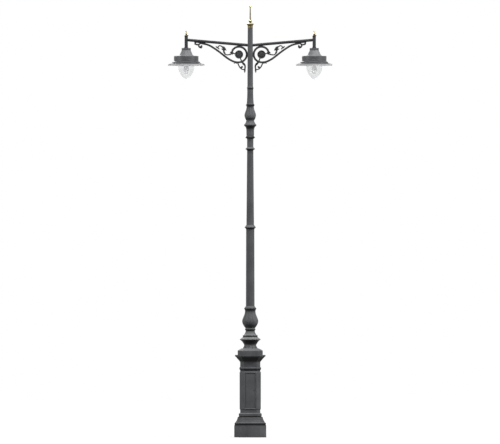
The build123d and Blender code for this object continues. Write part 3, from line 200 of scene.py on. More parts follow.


# %% [markdown]
# ### Anthracite paint
#
# Cast iron columns are sprayed with a satin anthracite paint. Up close it has a faint cast grain
# under the paint, a slow drift of tone, rain streaks down the sides and a film of dust on what
# faces the sky. The surface normal's upward part picks out the dusty faces.
#
# Shade is also painted in where one casting meets the next and under the overhangs. Those places
# lie at known heights, so a ramp over the height darkens them, and noise breaks up its edges.

# %% Helpers that read the height and the facing
def height_at(nodes, links, waver=0.0):
    """The point's height in metres, shifted a little by noise where a soft edge is wanted."""
    place = nodes.new("ShaderNodeTexCoord")
    parts = nodes.new("ShaderNodeSeparateXYZ")
    links.new(place.outputs["Object"], parts.inputs["Vector"])
    if not waver:
        return parts.outputs["Z"]
    shift = nodes.new("ShaderNodeMapRange")
    shift.inputs["To Min"].default_value = -waver
    shift.inputs["To Max"].default_value = waver
    links.new(noise_at(nodes, links, 30.0, 3.0), shift.inputs["Value"])
    total = nodes.new("ShaderNodeMath")
    links.new(parts.outputs["Z"], total.inputs[0])
    links.new(shift.outputs["Result"], total.inputs[1])
    return total.outputs["Value"]


def upward_part(nodes, links):
    """How far the surface faces the sky: 1 on a level top, 0 on a wall, -1 underneath."""
    facing = nodes.new("ShaderNodeNewGeometry")
    parts = nodes.new("ShaderNodeSeparateXYZ")
    links.new(facing.outputs["Normal"], parts.inputs["Vector"])
    return parts.outputs["Z"]


def between(nodes, links, source, start, end, low=0.0, high=1.0):
    """Stretch one span of a value onto another, and hold it at the ends."""
    limits = nodes.new("ShaderNodeMapRange")
    limits.inputs["From Min"].default_value = start
    limits.inputs["From Max"].default_value = end
    limits.inputs["To Min"].default_value = low
    limits.inputs["To Max"].default_value = high
    links.new(source, limits.inputs["Value"])
    return limits.outputs["Result"]


def blended(nodes, links, factor, first, second, blend="MIX"):
    """Mix two colours, each a shade or a link."""
    mix = nodes.new("ShaderNodeMix")
    mix.data_type = "RGBA"
    mix.blend_type = blend
    for socket, value in (("Factor", factor), ("A", first), ("B", second)):
        if isinstance(value, (int, float)):
            mix.inputs[socket].default_value = value
        elif isinstance(value, tuple):
            mix.inputs[socket].default_value = (*value, 1)
        else:
            links.new(value, mix.inputs[socket])
    return mix.outputs["Result"]


# %% Painted shade at the joints
ragged_edge = 0.004


def painted_joint_shade(nodes, links, shade_bands):
    """A grey read from the height: white elsewhere, and dark round each joint as painted shade."""
    lowest = min(level - extent for level, extent, _ in shade_bands)
    highest = max(level + extent for level, extent, _ in shade_bands)
    shades = nodes.new("ShaderNodeValToRGB")
    stops = shades.color_ramp.elements
    stops[0].color = (1, 1, 1, 1)
    for level, extent, shade in shade_bands:
        band = ((-extent, 1.0), (-extent / 2, shade), (extent / 2, shade), (extent, 1.0))
        for offset, tint in band:
            height = level + offset
            if lowest < height < highest:
                stop = stops.new((height - lowest) / (highest - lowest))
                stop.color = (tint, tint, tint, 1)
    share = between(nodes, links, height_at(nodes, links, ragged_edge), lowest, highest)
    links.new(share, shades.inputs["Fac"])
    return shades.outputs["Color"]


# %% Anthracite paint on castings, tubes and spun sheet
streak_stretch = (1, 1, 0.06)
streak_shades = ((0.72, 0.72, 0.72), (1, 1, 1))
streak_share = 0.35
dust_colour = (0.30, 0.30, 0.29)
dusty_from, dusty_to = 0.45, 1.0
fine_grain = 420.0


def anthracite(name, tones, rough, grain_depth, dust, shade_bands=(), specular=0.1):
    """Satin paint: streaks, dust on top faces, painted shade at joints, and a cast or rolled grain.
    """
    finish, nodes, links, shader = start_finish(name)
    shader.inputs["Specular IOR Level"].default_value = specular
    drift = noise_at(nodes, links, 5.0, 5.0)
    tone = ramp(nodes, links, drift, *tones)
    streaks = ramp(nodes, links, noise_at(nodes, links, 26.0, 3.0, streak_stretch), *streak_shades)
    tone = blended(nodes, links, streak_share, tone, streaks, "MULTIPLY")
    settled = between(nodes, links, upward_part(nodes, links), dusty_from, dusty_to, 0.0, dust)
    tone = blended(nodes, links, settled, tone, dust_colour)
    # Painted shade: darken the paint at the joints and under the overhangs, read from the height.
    if shade_bands:
        tone = blended(nodes, links, 1.0, tone, painted_joint_shade(nodes, links, shade_bands), "MULTIPLY")
    links.new(tone, shader.inputs["Base Color"])
    links.new(spread(nodes, links, drift, *rough), shader.inputs["Roughness"])
    grain(nodes, links, shader, noise_at(nodes, links, fine_grain, 2.0), grain_depth)
    return finish


# %% [markdown]
# Each band of painted shade below is written as its height, how far the shade reaches up and down
# from there, and how dark it is, where 1 is unshaded. The foot flare and the shoulder get paler
# tones and more dust than the other castings. The arms and the brackets under them are the darkest.

# %% Mix the paints
# Bands of painted shade at the joints and under the overhangs.
pedestal_shade_bands = (
    (0.194, 0.026, 0.16), (0.239, 0.018, 0.70), (0.308, 0.014, 0.18), (1.014, 0.020, 0.20),
    (1.172, 0.046, 0.20), (1.609, 0.022, 0.15), (1.668, 0.030, 0.35), (1.914, 0.030, 0.25),
)
shoulder_shade_bands = (
    (1.316, 0.026, 0.45), (1.428, 0.044, 0.12), (1.514, 0.014, 0.25), (1.606, 0.022, 0.15),
)
column_shade_bands = (
    (3.131, 0.018, 0.12), (4.308, 0.026, 0.10), (4.497, 0.024, 0.10), (4.654, 0.038, 0.10),
    (4.778, 0.018, 0.35), (4.978, 0.024, 0.15), (5.231, 0.018, 0.20),
)
cast_tones = ((0.056, 0.058, 0.061), (0.084, 0.086, 0.090))
paler_tones = ((0.084, 0.086, 0.089), (0.130, 0.132, 0.136))
tube_tones = ((0.056, 0.058, 0.061), (0.074, 0.076, 0.080))
canopy_tones = ((0.035, 0.037, 0.039), (0.046, 0.048, 0.050))
forged_tones = ((0.024, 0.025, 0.027), (0.038, 0.039, 0.042))
cast_rough = (0.50, 0.64)
cast_grain = 0.0006
cast_paint = anthracite("cast_paint", cast_tones, cast_rough, cast_grain, 0.15, pedestal_shade_bands)
paler_cast_paint = anthracite("paler_cast_paint", paler_tones, cast_rough, cast_grain, 0.25,
                               shoulder_shade_bands)
upper_cast_paint = anthracite("upper_cast_paint", cast_tones, cast_rough, cast_grain, 0.15,
                              column_shade_bands)
tube_paint = anthracite("tube_paint", tube_tones, (0.46, 0.58), 0.0002, 0.15)
canopy_paint = anthracite("canopy_paint", canopy_tones, (0.42, 0.50), 0.00005, 0.0, specular=0.4)
forged_paint = anthracite("forged_paint", forged_tones, (0.50, 0.62), 0.0003, 0.12)

# %% [markdown]
# ### Metals, enamel, plastics and rubber
#
# The remaining solid finishes differ only in a few numbers, so one function makes them all:
# two tones, how metallic and how rough they are, and how coarse and deep their grain is. Zinc
# drifts in small patches, its spangle, so it has a drift scale of its own.

# %% The plainer finishes
def plain_finish(name, tones, metallic, rough, grain_scale, grain_depth, drift_scale=12.0):
    """A finish with a drift of tone and roughness, and a grain."""
    finish, nodes, links, shader = start_finish(name)
    shader.inputs["Metallic"].default_value = metallic
    drift = noise_at(nodes, links, drift_scale, 5.0)
    links.new(ramp(nodes, links, drift, *tones), shader.inputs["Base Color"])
    links.new(spread(nodes, links, drift, *rough), shader.inputs["Roughness"])
    grain(nodes, links, shader, noise_at(nodes, links, grain_scale, 3.0), grain_depth)
    return finish


zinc_tones = ((0.42, 0.44, 0.45), (0.60, 0.62, 0.63))
steel_tones = ((0.50, 0.51, 0.52), (0.62, 0.63, 0.64))
brass_tones = ((0.60, 0.46, 0.20), (0.74, 0.60, 0.30))
mirror_tones = ((0.80, 0.81, 0.82), (0.88, 0.89, 0.90))
black_tones = ((0.020, 0.020, 0.022), (0.034, 0.034, 0.036))
red_tones = ((0.42, 0.03, 0.02), (0.52, 0.05, 0.035))
board_tones = ((0.34, 0.35, 0.35), (0.42, 0.43, 0.43))
porcelain_tones = ((0.72, 0.71, 0.68), (0.80, 0.79, 0.76))
rubber_tones = ((0.018, 0.018, 0.018), (0.034, 0.034, 0.034))

zinc = plain_finish("zinc", zinc_tones, 1.0, (0.35, 0.55), 90.0, 0.0001, drift_scale=30.0)
bright_steel = plain_finish("bright_steel", steel_tones, 1.0, (0.22, 0.34), 260.0, 0.00005)
terminal_brass = plain_finish("plain_brass", brass_tones, 1.0, (0.25, 0.4), 260.0, 0.00005)
reflector_skin = plain_finish("reflector_skin", mirror_tones, 1.0, (0.08, 0.16), 60.0, 0.0001)
black_moulding = plain_finish("black_moulding", black_tones, 0.0, (0.45, 0.6), 700.0, 0.0001)
red_moulding = plain_finish("red_moulding", red_tones, 0.0, (0.25, 0.35), 500.0, 0.00004)
board_laminate = plain_finish("board_laminate", board_tones, 0.0, (0.5, 0.62), 300.0, 0.0001)
porcelain = plain_finish("porcelain", porcelain_tones, 0.0, (0.12, 0.2), 60.0, 0.0001)
gasket_rubber = plain_finish("gasket_rubber", rubber_tones, 0.0, (0.7, 0.85), 500.0, 0.0001)

# %% [markdown]
# ### Lantern lacquer, shade enamel and gilding
#
# Three finishes change with place. The cone below each drop pipe is a satin grey, and only the
# upright band at its top is darker. The shade's enamel carries a painted shade by the canopy, where
# the canopy shadows it, and stays pale at its rim. A second material on picked faces could do this
# too, but the engineering mesh is left as it is, so the height of each point chooses the colour.
#
# The gilding is painted bright gold where it faces the sky and olive brown on the sides, and
# darker still underneath: painted light and shade by facing, over patchy tones.

# %% Neck lacquer
band_height = 0.034
band_edge = 0.001
band_colour = (0.055, 0.057, 0.060)
lacquer_tones = ((0.096, 0.098, 0.100), (0.122, 0.124, 0.127))
band_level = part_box("lantern_neck_right")[1].z - band_height

neck_lacquer, nodes, links, shader = start_finish("neck_lacquer")
shader.inputs["Specular IOR Level"].default_value = 0.2
lacquer = ramp(nodes, links, noise_at(nodes, links, 6.0, 5.0), *lacquer_tones)
in_band = between(nodes, links, height_at(nodes, links),
                  band_level - band_edge, band_level + band_edge)
links.new(blended(nodes, links, in_band, lacquer, band_colour), shader.inputs["Base Color"])
sheen_drift = noise_at(nodes, links, 9.0, 4.0)
links.new(spread(nodes, links, sheen_drift, 0.38, 0.48), shader.inputs["Roughness"])
grain(nodes, links, shader, noise_at(nodes, links, fine_grain, 2.0), 0.0001)
print("necks banded above", round(band_level, 3))

# %% Shade enamel
shade_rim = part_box("shade_right")[0].z
unshaded_up_to = 0.004
fully_shaded_from = 0.024
painted_shade_colour = (0.060, 0.061, 0.063)
enamel_tones = ((0.42, 0.424, 0.428), (0.50, 0.504, 0.508))

pale_enamel, nodes, links, shader = start_finish("pale_enamel")
shader.inputs["Specular IOR Level"].default_value = 0.15
drift = noise_at(nodes, links, 12.0, 5.0)
bare_enamel = ramp(nodes, links, drift, *enamel_tones)
# Painted shade: the enamel darkens towards the canopy, where the canopy shadows it.
painted_shade_share = between(nodes, links, height_at(nodes, links, 0.001),
                shade_rim + unshaded_up_to, shade_rim + fully_shaded_from)
links.new(blended(nodes, links, painted_shade_share, bare_enamel, painted_shade_colour), shader.inputs["Base Color"])
links.new(spread(nodes, links, drift, 0.50, 0.62), shader.inputs["Roughness"])
grain(nodes, links, shader, noise_at(nodes, links, 380.0, 3.0), 0.0001)
print("shade rim at", round(shade_rim, 3))

# %% Gilding with painted light and shade
side_gold_tones = ((0.070, 0.060, 0.026), (0.145, 0.125, 0.062))
gold_tones = ((0.66, 0.54, 0.24), (0.84, 0.74, 0.42))
facing_up_from, facing_up_to = 0.15, 0.60
under_from, under_to = -0.50, -0.05
under_share = 0.35

gilding, nodes, links, shader = start_finish("gilding")
shader.inputs["Metallic"].default_value = 1.0
patches = noise_at(nodes, links, 45.0, 5.0)
side_gold = ramp(nodes, links, patches, *side_gold_tones)
bright_gold = ramp(nodes, links, patches, *gold_tones)
# Painted light and shade by facing: bright gold facing up, olive on the sides, darker underneath.
facing_up = between(nodes, links, upward_part(nodes, links), facing_up_from, facing_up_to)
shadowed = between(nodes, links, upward_part(nodes, links),
                   under_from, under_to, under_share, 1.0)
faced_gold = blended(nodes, links, facing_up, side_gold, bright_gold)
links.new(blended(nodes, links, 1.0, faced_gold, shadowed, "MULTIPLY"), shader.inputs["Base Color"])
links.new(spread(nodes, links, patches, 0.24, 0.40), shader.inputs["Roughness"])
grain(nodes, links, shader, noise_at(nodes, links, 160.0, 3.0), 0.0003)

# %% [markdown]
# ### Glass
#
# The bowl is clear pressed glass and the lamp in it has a pearly envelope. Clear glass lets the
# light through, so its shader has full transmission, a slight grey in its colour and a ripple left
# by the mould. The lamp's envelope is frosted, which a high roughness in the transmission gives.
# The model holds that envelope as a full solid, which would bend light like a lens, so it gets the
# low index that makes a solid look like the thin shell it really is.

# %% Clear and pearl glass
ripple_depth = 0.0001


def glass_finish(name, tint, rough, ripple_scale, transmission, bending):
    """Glass with a ripple, a faint drift of roughness, and its tint on the shader's own socket."""
    finish, nodes, links, shader = start_finish(name)
    shader.inputs["Base Color"].default_value = (*tint, 1)
    shader.inputs["Transmission Weight"].default_value = transmission
    shader.inputs["IOR"].default_value = bending
    haze = noise_at(nodes, links, 14.0, 3.0)
    links.new(spread(nodes, links, haze, *rough), shader.inputs["Roughness"])
    grain(nodes, links, shader, noise_at(nodes, links, ripple_scale, 2.0), ripple_depth)
    return finish


def let_light_through(finish, share):
    """Let a share of the lamps' light pass straight through, so that what is inside is lit."""
    nodes = finish.node_tree.nodes
    links = finish.node_tree.links
    clear = nodes.new("ShaderNodeBsdfTransparent")
    clear.inputs["Color"].default_value = (share, share, share, 1)
    rays = nodes.new("ShaderNodeLightPath")
    choice = nodes.new("ShaderNodeMixShader")
    links.new(rays.outputs["Is Shadow Ray"], choice.inputs["Fac"])
    links.new(nodes["Principled BSDF"].outputs["BSDF"], choice.inputs[1])
    links.new(clear.outputs["BSDF"], choice.inputs[2])
    links.new(choice.outputs["Shader"], nodes["Material Output"].inputs["Surface"])


clear_glass = glass_finish("clear_glass", (0.89, 0.895, 0.90), (0.04, 0.08), 30.0,
                           transmission=1.0, bending=1.45)
pearl_glass = glass_finish("pearl_glass", (0.94, 0.94, 0.93), (0.30, 0.40), 70.0,
                           transmission=0.6, bending=1.05)
let_light_through(clear_glass, 0.98)

# %% [markdown]
# ## Finishing the engineering pieces
#
# Most pieces keep their engineering shape and only need the right finish. A table from the
# record's slot names to our finishes does it in one pass, so no piece is forgotten. A few pieces
# look unlike the rest of their slot, and they get their own finish in a second pass.

# %% Give each engineering piece its finish
finish_of_slot = {
    "painted_casting": cast_paint,
    "painted_steel": tube_paint,
    "painted_aluminium": canopy_paint,
    "satin_aluminium": neck_lacquer,
    "pale_shade": pale_enamel,
    "gilt_brass": gilding,
    "galvanised_steel": zinc,
    "clear_glass": clear_glass,
    "lamp_glass": pearl_glass,
    "reflector_metal": reflector_skin,
    "gasket_rubber": gasket_rubber,
    "steel_fasteners": bright_steel,
    "terminal_brass": terminal_brass,
    "grey_board": board_laminate,
    "black_plastic": black_moulding,
    "red_plastic": red_moulding,
    "white_porcelain": porcelain,
}
slot_of_node = {part["node"]: part["material_slot"] for part in frame["record"]["subparts"]}
for node, piece in frame["nodes"].items():
    piece.data.materials.clear()
    piece.data.materials.append(finish_of_slot[slot_of_node[node]])

forged_nodes = ("arm_left", "arm_right", "hub_left", "hub_right", "door_lock")
paler_nodes = ("foot_flare", "shoulder")
upper_castings_above = 2.5
for node, piece in frame["nodes"].items():
    if node in forged_nodes:
        piece.data.materials[0] = forged_paint
    elif node in paler_nodes:
        piece.data.materials[0] = paler_cast_paint
    elif slot_of_node[node] == "painted_casting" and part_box(node)[0].z > upper_castings_above:
        piece.data.materials[0] = upper_cast_paint
print(len(frame["nodes"]), "engineering pieces finished")

# %% [markdown]
# ## The bracket's bars
#
# Each scroll bracket is bent from flat bar: a ring that runs on into a long strap up to the arm,
# with thinner bars curled round it. Bending a bar along a line is what a curve with a profile
# does, so each bar is a smooth curve, drawn flat, with a small rounded rectangle swept along it.
# Extruding a mesh step by step would do too, but the curve keeps the bend even.
#
# The profile comes first: a plane with its corners rounded, turned into a closed curve.

# %% The bar's section
def bar_section(width, depth, corner):
    """A rounded rectangle as a closed curve."""
    clear_selection()
    bpy.ops.mesh.primitive_plane_add(size=1, location=(0, 0, 0))
    section = bpy.context.object
    section.scale = (width, depth, 1)
    settle(section)
    bpy.ops.object.mode_set(mode="EDIT")
    bpy.ops.mesh.select_all(action="SELECT")
    bpy.ops.mesh.bevel(offset=corner, segments=2, affect="VERTICES")
    bpy.ops.mesh.delete(type="ONLY_FACE")
    bpy.ops.object.mode_set(mode="OBJECT")
    bpy.ops.object.convert(target="CURVE")
    return section


heavy_section = bar_section(0.031, 0.018, 0.005)
medium_section = bar_section(0.025, 0.016, 0.005)
light_section = bar_section(0.019, 0.014, 0.004)
print("sections", heavy_section.type, medium_section.type, light_section.type)

# %% [markdown]
# The bars' lines are given along and across the arm, in metres from the column's axis. The ring
# turns two thirds of the way round before it leaves for the strap.

# %% The lines of the bars
ring_centre = Vector((0.156, -0.1502))
ring_radius = 0.117


def ring_point(turn):
    """A point on the ring, at a turn in degrees from the arm's direction."""
    return (ring_centre.x + ring_radius * math.cos(math.radians(turn)),
            ring_centre.y + ring_radius * math.sin(math.radians(turn)))


ring_start, ring_end, ring_step = 23, 263, 15
ring_turns = range(ring_start, ring_end + 1, ring_step)
ring_and_strap = [ring_point(turn) for turn in ring_turns] + [
    (0.156, -0.269), (0.200, -0.269), (0.248, -0.258), (0.317, -0.226), (0.375, -0.189),
    (0.446, -0.141), (0.509, -0.104), (0.572, -0.069), (0.630, -0.046), (0.700, -0.034),
    (0.758, -0.030),
]
lower_curl = [
    (0.118, -0.256), (0.090, -0.268), (0.066, -0.284), (0.053, -0.304), (0.048, -0.330),
    (0.049, -0.352), (0.052, -0.370),
]
thin_curl = [
    (0.172, -0.268), (0.158, -0.292), (0.144, -0.318), (0.126, -0.344), (0.104, -0.362),
    (0.080, -0.373), (0.058, -0.366),
]
inner_curl = [
    (0.102, -0.362), (0.110, -0.350), (0.108, -0.336), (0.097, -0.327), (0.084, -0.325),
]
vine = [
    (0.262, -0.146), (0.280, -0.156), (0.308, -0.168), (0.338, -0.173), (0.366, -0.163),
    (0.385, -0.141), (0.394, -0.113), (0.400, -0.086), (0.412, -0.062), (0.433, -0.046),
    (0.457, -0.043), (0.476, -0.055), (0.480, -0.076), (0.466, -0.092),
]
end_curl = [
    (0.826, -0.016), (0.830, -0.034), (0.818, -0.052), (0.792, -0.059), (0.768, -0.052),
    (0.750, -0.038), (0.736, -0.026),
]
end_drop = [
    (0.774, -0.052), (0.770, -0.070), (0.760, -0.088), (0.744, -0.098), (0.728, -0.092),
    (0.722, -0.074), (0.728, -0.060),
]
under_arm = -0.0235
saddle = [(along, under_arm) for along in (0.676, 0.713, 0.751, 0.788, 0.826)]

# %% [markdown]
# A curve bends its profile along its points. With the twist held to the vertical while the curve
# lies flat, the bar's broad face stays parallel to the bracket. Each bar tapers a little to its
# end, as a smith draws it down.

# %% Sweep the bars
def bar(line, section, taper):
    """A bar along a line of five points or more, tapering to its end, as a mesh."""
    clear_selection()
    bpy.ops.curve.primitive_nurbs_path_add(location=(0, 0, 0))
    drawn = bpy.context.object
    curve = drawn.data
    path = curve.splines[0]
    path.points.add(len(line) - len(path.points))
    for step, (along, across) in enumerate(line):
        path.points[step].co = (along, across, 0, 1)
        path.points[step].radius = 1 + (taper - 1) * (step / (len(line) - 1)) ** 2
    path.order_u = 3
    path.use_endpoint_u = True
    path.resolution_u = 6
    curve.twist_mode = "Z_UP"
    curve.bevel_mode = "OBJECT"
    curve.bevel_object = section
    curve.use_fill_caps = True
    bpy.ops.object.convert(target="MESH")
    return drawn


strap_taper = 0.92
curl_taper = 0.85
stem_taper = 0.9
bars = [bar(ring_and_strap, heavy_section, strap_taper)]
for line in (lower_curl, end_curl, end_drop):
    bars.append(bar(line, medium_section, curl_taper))
for line in (thin_curl, inner_curl, vine, saddle):
    bars.append(bar(line, light_section, curl_taper))
print(len(bars), "bars")

# %% [markdown]
# ## Leaves
#
# Cast leaves sit on the bars. One leaf is modelled and then copied: a grid is raised along its
# middle and between its veins, each row is drawn in to a lobed outline, and a mirror closes it
# into a lens, because a bracket is seen from both of its sides. Sculpting every leaf apart would
# look livelier, but at this size the copies' different lengths and widths are enough.

# %% Model one leaf, a metre long and a metre wide
leaf_rows = 14
leaf_columns = 6
column_rises = ((0, 0.50), (1, 0.26), (2, 0.30))
lobe_count = 3
lobe_depth = 0.16
tip_width = 0.03
tip_height = 0.12
near = 0.01
clear_selection()
bpy.ops.mesh.primitive_grid_add(x_subdivisions=leaf_rows, y_subdivisions=leaf_columns, size=1,
                                location=(0.5, 0, 0))
leaf_blank = bpy.context.object
settle(leaf_blank)
for column, rise in column_rises:
    offset = column / leaf_columns
    select_points(leaf_blank, lambda co: abs(abs(co.y) - offset) < near)
    bpy.ops.transform.translate(value=(0, 0, rise))
for row in range(leaf_rows + 1):
    along = row / leaf_rows
    swell = math.sin(math.pi * along ** 0.75)
    lobe = 1 - lobe_depth * (0.5 - 0.5 * math.cos(2 * lobe_count * math.pi * along))
    row_width = max(tip_width, swell * lobe)
    row_height = max(tip_height, swell ** 0.5)
    select_points(leaf_blank, lambda co: abs(co.x - along) < near)
    bpy.ops.transform.resize(value=(1, row_width, row_height), center_override=(along, 0, 0))
bpy.ops.object.mode_set(mode="OBJECT")
seam_gap = 0.0005
mirror = leaf_blank.modifiers.new("both faces", "MIRROR")
mirror.use_axis = (False, False, True)
mirror.merge_threshold = seam_gap
bpy.ops.object.modifier_apply(modifier=mirror.name)
only(leaf_blank)
bpy.ops.object.mode_set(mode="EDIT")
bpy.ops.mesh.select_all(action="SELECT")
bpy.ops.mesh.remove_doubles(threshold=seam_gap)
bpy.ops.mesh.normals_make_consistent(inside=False)
bpy.ops.object.mode_set(mode="OBJECT")
bpy.ops.object.shade_smooth()
print("leaf", len(leaf_blank.data.polygons), "faces")

# %% Lay copies of the leaf on the bracket
leaf_thickness = 0.014


def lay_leaf(root, tip, width):
    """A copy of the leaf from root to tip, of a given width."""
    leaf = twin(leaf_blank)
    run = Vector(tip) - Vector(root)
    leaf.location = (*root, 0)
    leaf.rotation_euler = (0, 0, math.atan2(run.y, run.x))
    leaf.scale = (run.length, width, leaf_thickness)
    settle(leaf)
    return leaf


leaves = [
    lay_leaf((0.050, -0.350), (0.048, -0.424), 0.028),
    lay_leaf((0.116, -0.352), (0.078, -0.330), 0.026),
    lay_leaf((0.200, -0.260), (0.174, -0.294), 0.030),
    lay_leaf((0.186, -0.262), (0.226, -0.296), 0.024),
    lay_leaf((0.106, -0.258), (0.046, -0.322), 0.028),
    lay_leaf((0.262, -0.108), (0.298, -0.148), 0.022),
    lay_leaf((0.254, -0.112), (0.290, -0.180), 0.022),
    lay_leaf((0.244, -0.118), (0.262, -0.172), 0.020),
    lay_leaf((0.416, -0.048), (0.346, -0.112), 0.038),
    lay_leaf((0.400, -0.092), (0.366, -0.120), 0.020),
    lay_leaf((0.397, -0.112), (0.350, -0.178), 0.026),
    lay_leaf((0.400, -0.100), (0.432, -0.086), 0.020),
    lay_leaf((0.478, -0.086), (0.520, -0.052), 0.024),
    lay_leaf((0.474, -0.078), (0.456, -0.104), 0.022),
    lay_leaf((0.818, -0.046), (0.836, -0.062), 0.018),
]
print(len(leaves), "leaves on a bracket")

# %% [markdown]
# The bracket also has two buds, one where the ring ends and one near the lantern, a thin disc that
# the rosettes sit on, and two short stems that hold that disc in the ring. A bud is a ball drawn to
# a point.

# %% Buds, disc and stems
bud_radius = 0.014
disc_radius = 0.056
disc_thickness = 0.008
drawn_below = -0.0115
drawn_by = -0.006
waist = 0.004
waist_swell = 1.12
end_bud_scale = 1.35
clear_selection()
bpy.ops.mesh.primitive_uv_sphere_add(segments=20, ring_count=12, radius=bud_radius,
                                     location=(0, 0, 0))
bud = bpy.context.object
settle(bud)
select_points(bud, lambda co: co.y < drawn_below)
bpy.ops.transform.translate(value=(0, drawn_by, 0))
select_points(bud, lambda co: abs(co.y) < waist)
bpy.ops.transform.resize(value=(waist_swell, 1, 1))
bpy.ops.object.mode_set(mode="OBJECT")
bpy.ops.object.shade_smooth()
ring_bud = twin(bud)
ring_bud.location = (0.257, -0.104, 0)
settle(ring_bud)
bud.location = (0.730, -0.084, 0)
bud.scale = (end_bud_scale, end_bud_scale, 1)
settle(bud)

clear_selection()
bpy.ops.mesh.primitive_cylinder_add(vertices=48, radius=disc_radius, depth=disc_thickness,
                                    location=(*ring_centre, 0))
disc = bpy.context.object
settle(disc)
bevel = disc.modifiers.new("rounded rim", "BEVEL")
bevel.width = 0.0015
bevel.segments = 2
bevel.limit_method = "ANGLE"
bpy.ops.object.modifier_apply(modifier=bevel.name)

side_stem = [
    (0.262, -0.138), (0.248, -0.140), (0.234, -0.142), (0.218, -0.145), (0.200, -0.148),
]
lower_stem = [
    (0.108, -0.252), (0.114, -0.239), (0.120, -0.226), (0.126, -0.212), (0.133, -0.196),
]
stems = [bar(line, light_section, stem_taper) for line in (side_stem, lower_stem)]
bracket = join(bars + leaves + [bud, ring_bud, disc] + stems, "bracket_right")
print("bracket", len(bracket.data.polygons), "faces")

# %% [markdown]
# Everything so far was drawn lying flat. Now the bracket is stood up, tipped to the arm's slope and
# lifted to the arm. The left one is its mirror image, and a mirrored mesh has its faces turned
# inside out, so they are turned back.

# %% Stand the brackets up
stand_up = (Matrix.Translation((0, 0, arm_height)) @ Matrix.Rotation(-arm_pitch, 4, "Y")
            @ Matrix.Rotation(math.radians(90), 4, "X"))
mirrored = Matrix.Scale(-1, 4, (1, 0, 0))


def turn_outwards(piece):
    """Recalculate the faces of a closed piece so that they all point outwards."""
    only(piece)
    bpy.ops.object.mode_set(mode="EDIT")
    bpy.ops.mesh.select_all(action="SELECT")
    bpy.ops.mesh.normals_make_consistent(inside=False)
    bpy.ops.object.mode_set(mode="OBJECT")


def put(piece, matrix, name, body, slot, *nodes):
    """Place a forged piece by a matrix, finish it, and let it stand for nodes of a body."""
    piece.matrix_world = matrix
    settle(piece)
    turn_outwards(piece)
    only(piece)
    bpy.ops.object.shade_smooth_by_angle(angle=math.radians(40))
    piece.name = name
    piece.data.materials.clear()
    piece.data.materials.append(forged_paint)
    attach(piece, body)
    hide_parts(*nodes)


bracket_left = twin(bracket)
put(bracket_left, mirrored @ stand_up, "bracket_left", "column", "painted_steel", "scroll_left")
put(bracket, stand_up, "bracket_right", "column", "painted_steel", "scroll_right")

# %% [markdown]
# ## Rosettes
#
# On each face of a bracket's disc sits a cast rosette: a shallow dish with a rolled rim, a boss
# and eight petals. Dish, rim and boss are one turned shape, so they start as a circle that is
# extruded ring by ring along the profile. The petals are the same leaf again, shorter and wider,
# copied round a circle.

# %% A helper that turns a shape ring by ring
def turned(count, rings):
    """Extrude a circle through rings of (radius, height), and close it to a point at the end."""
    radius_now, height_now = rings[0]
    clear_selection()
    bpy.ops.mesh.primitive_circle_add(vertices=count, radius=radius_now,
                                      location=(0, 0, height_now))
    piece = bpy.context.object
    settle(piece)
    select_points(piece, lambda co: True)
    for radius, height in rings[1:]:
        rise = (0, 0, height - height_now)
        bpy.ops.mesh.extrude_region_move(TRANSFORM_OT_translate={"value": rise})
        share = radius / radius_now
        bpy.ops.transform.resize(value=(share, share, 1), center_override=(0, 0, height))
        radius_now, height_now = radius, height
    bpy.ops.mesh.merge(type="CENTER")
    bpy.ops.object.mode_set(mode="OBJECT")
    return piece


# %% Model one rosette and copy it to the four faces
face_height = disc_thickness / 2
petal_count = 8
petal_root = 0.008
petal_tip = 0.051
petal_width = 0.032
petal_height = 0.007
profile = [
    (0.050, 0), (0.058, 0), (0.061, 0.002), (0.0625, 0.005), (0.062, 0.008), (0.059, 0.0105),
    (0.055, 0.0110), (0.051, 0.0095), (0.0485, 0.0065), (0.046, 0.005), (0.017, 0.005),
    (0.0155, 0.0075), (0.0135, 0.0110), (0.0100, 0.0140), (0.0055, 0.0158), (0.0015, 0.0163),
]
dish = turned(64, [(radius, face_height + height) for radius, height in profile])

petals = []
for step in range(petal_count):
    turn = 2 * math.pi * step / petal_count
    root = (petal_root * math.cos(turn), petal_root * math.sin(turn))
    tip = (petal_tip * math.cos(turn), petal_tip * math.sin(turn))
    petal = lay_leaf(root, tip, petal_width)
    petal.location.z = face_height + petal_height
    settle(petal)
    petals.append(petal)
rosette = join([dish] + petals, "rosette")

to_centre = Matrix.Translation((*ring_centre, 0))
other_face = Matrix.Rotation(math.radians(180), 4, "X")
rosettes = []
for side in (Matrix.Identity(4), mirrored):
    for face in (Matrix.Identity(4), other_face):
        copy = twin(rosette)
        copy.matrix_world = side @ stand_up @ to_centre @ face
        settle(copy)
        rosettes.append(copy)
bpy.data.objects.remove(rosette)
rosettes = join(rosettes, "rosettes_petalled")
put(rosettes, Matrix.Identity(4), "rosettes_petalled", "column", "painted_casting", "rosettes")
print("rosettes", len(rosettes.data.polygons), "faces")

# %% [markdown]
# ## The ribbed glass bowls
#
# Each bowl is pressed glass: a flange that the ring holds, an upright band, and a belly that closes
# to a point. Upright ribs run down it, which is what draws the streaks of light. It is turned like
# the rosette, from the flange downwards, then one column of points in four is drawn inwards to
# make the hollows between the ribs, and at last the shell gets its wall.

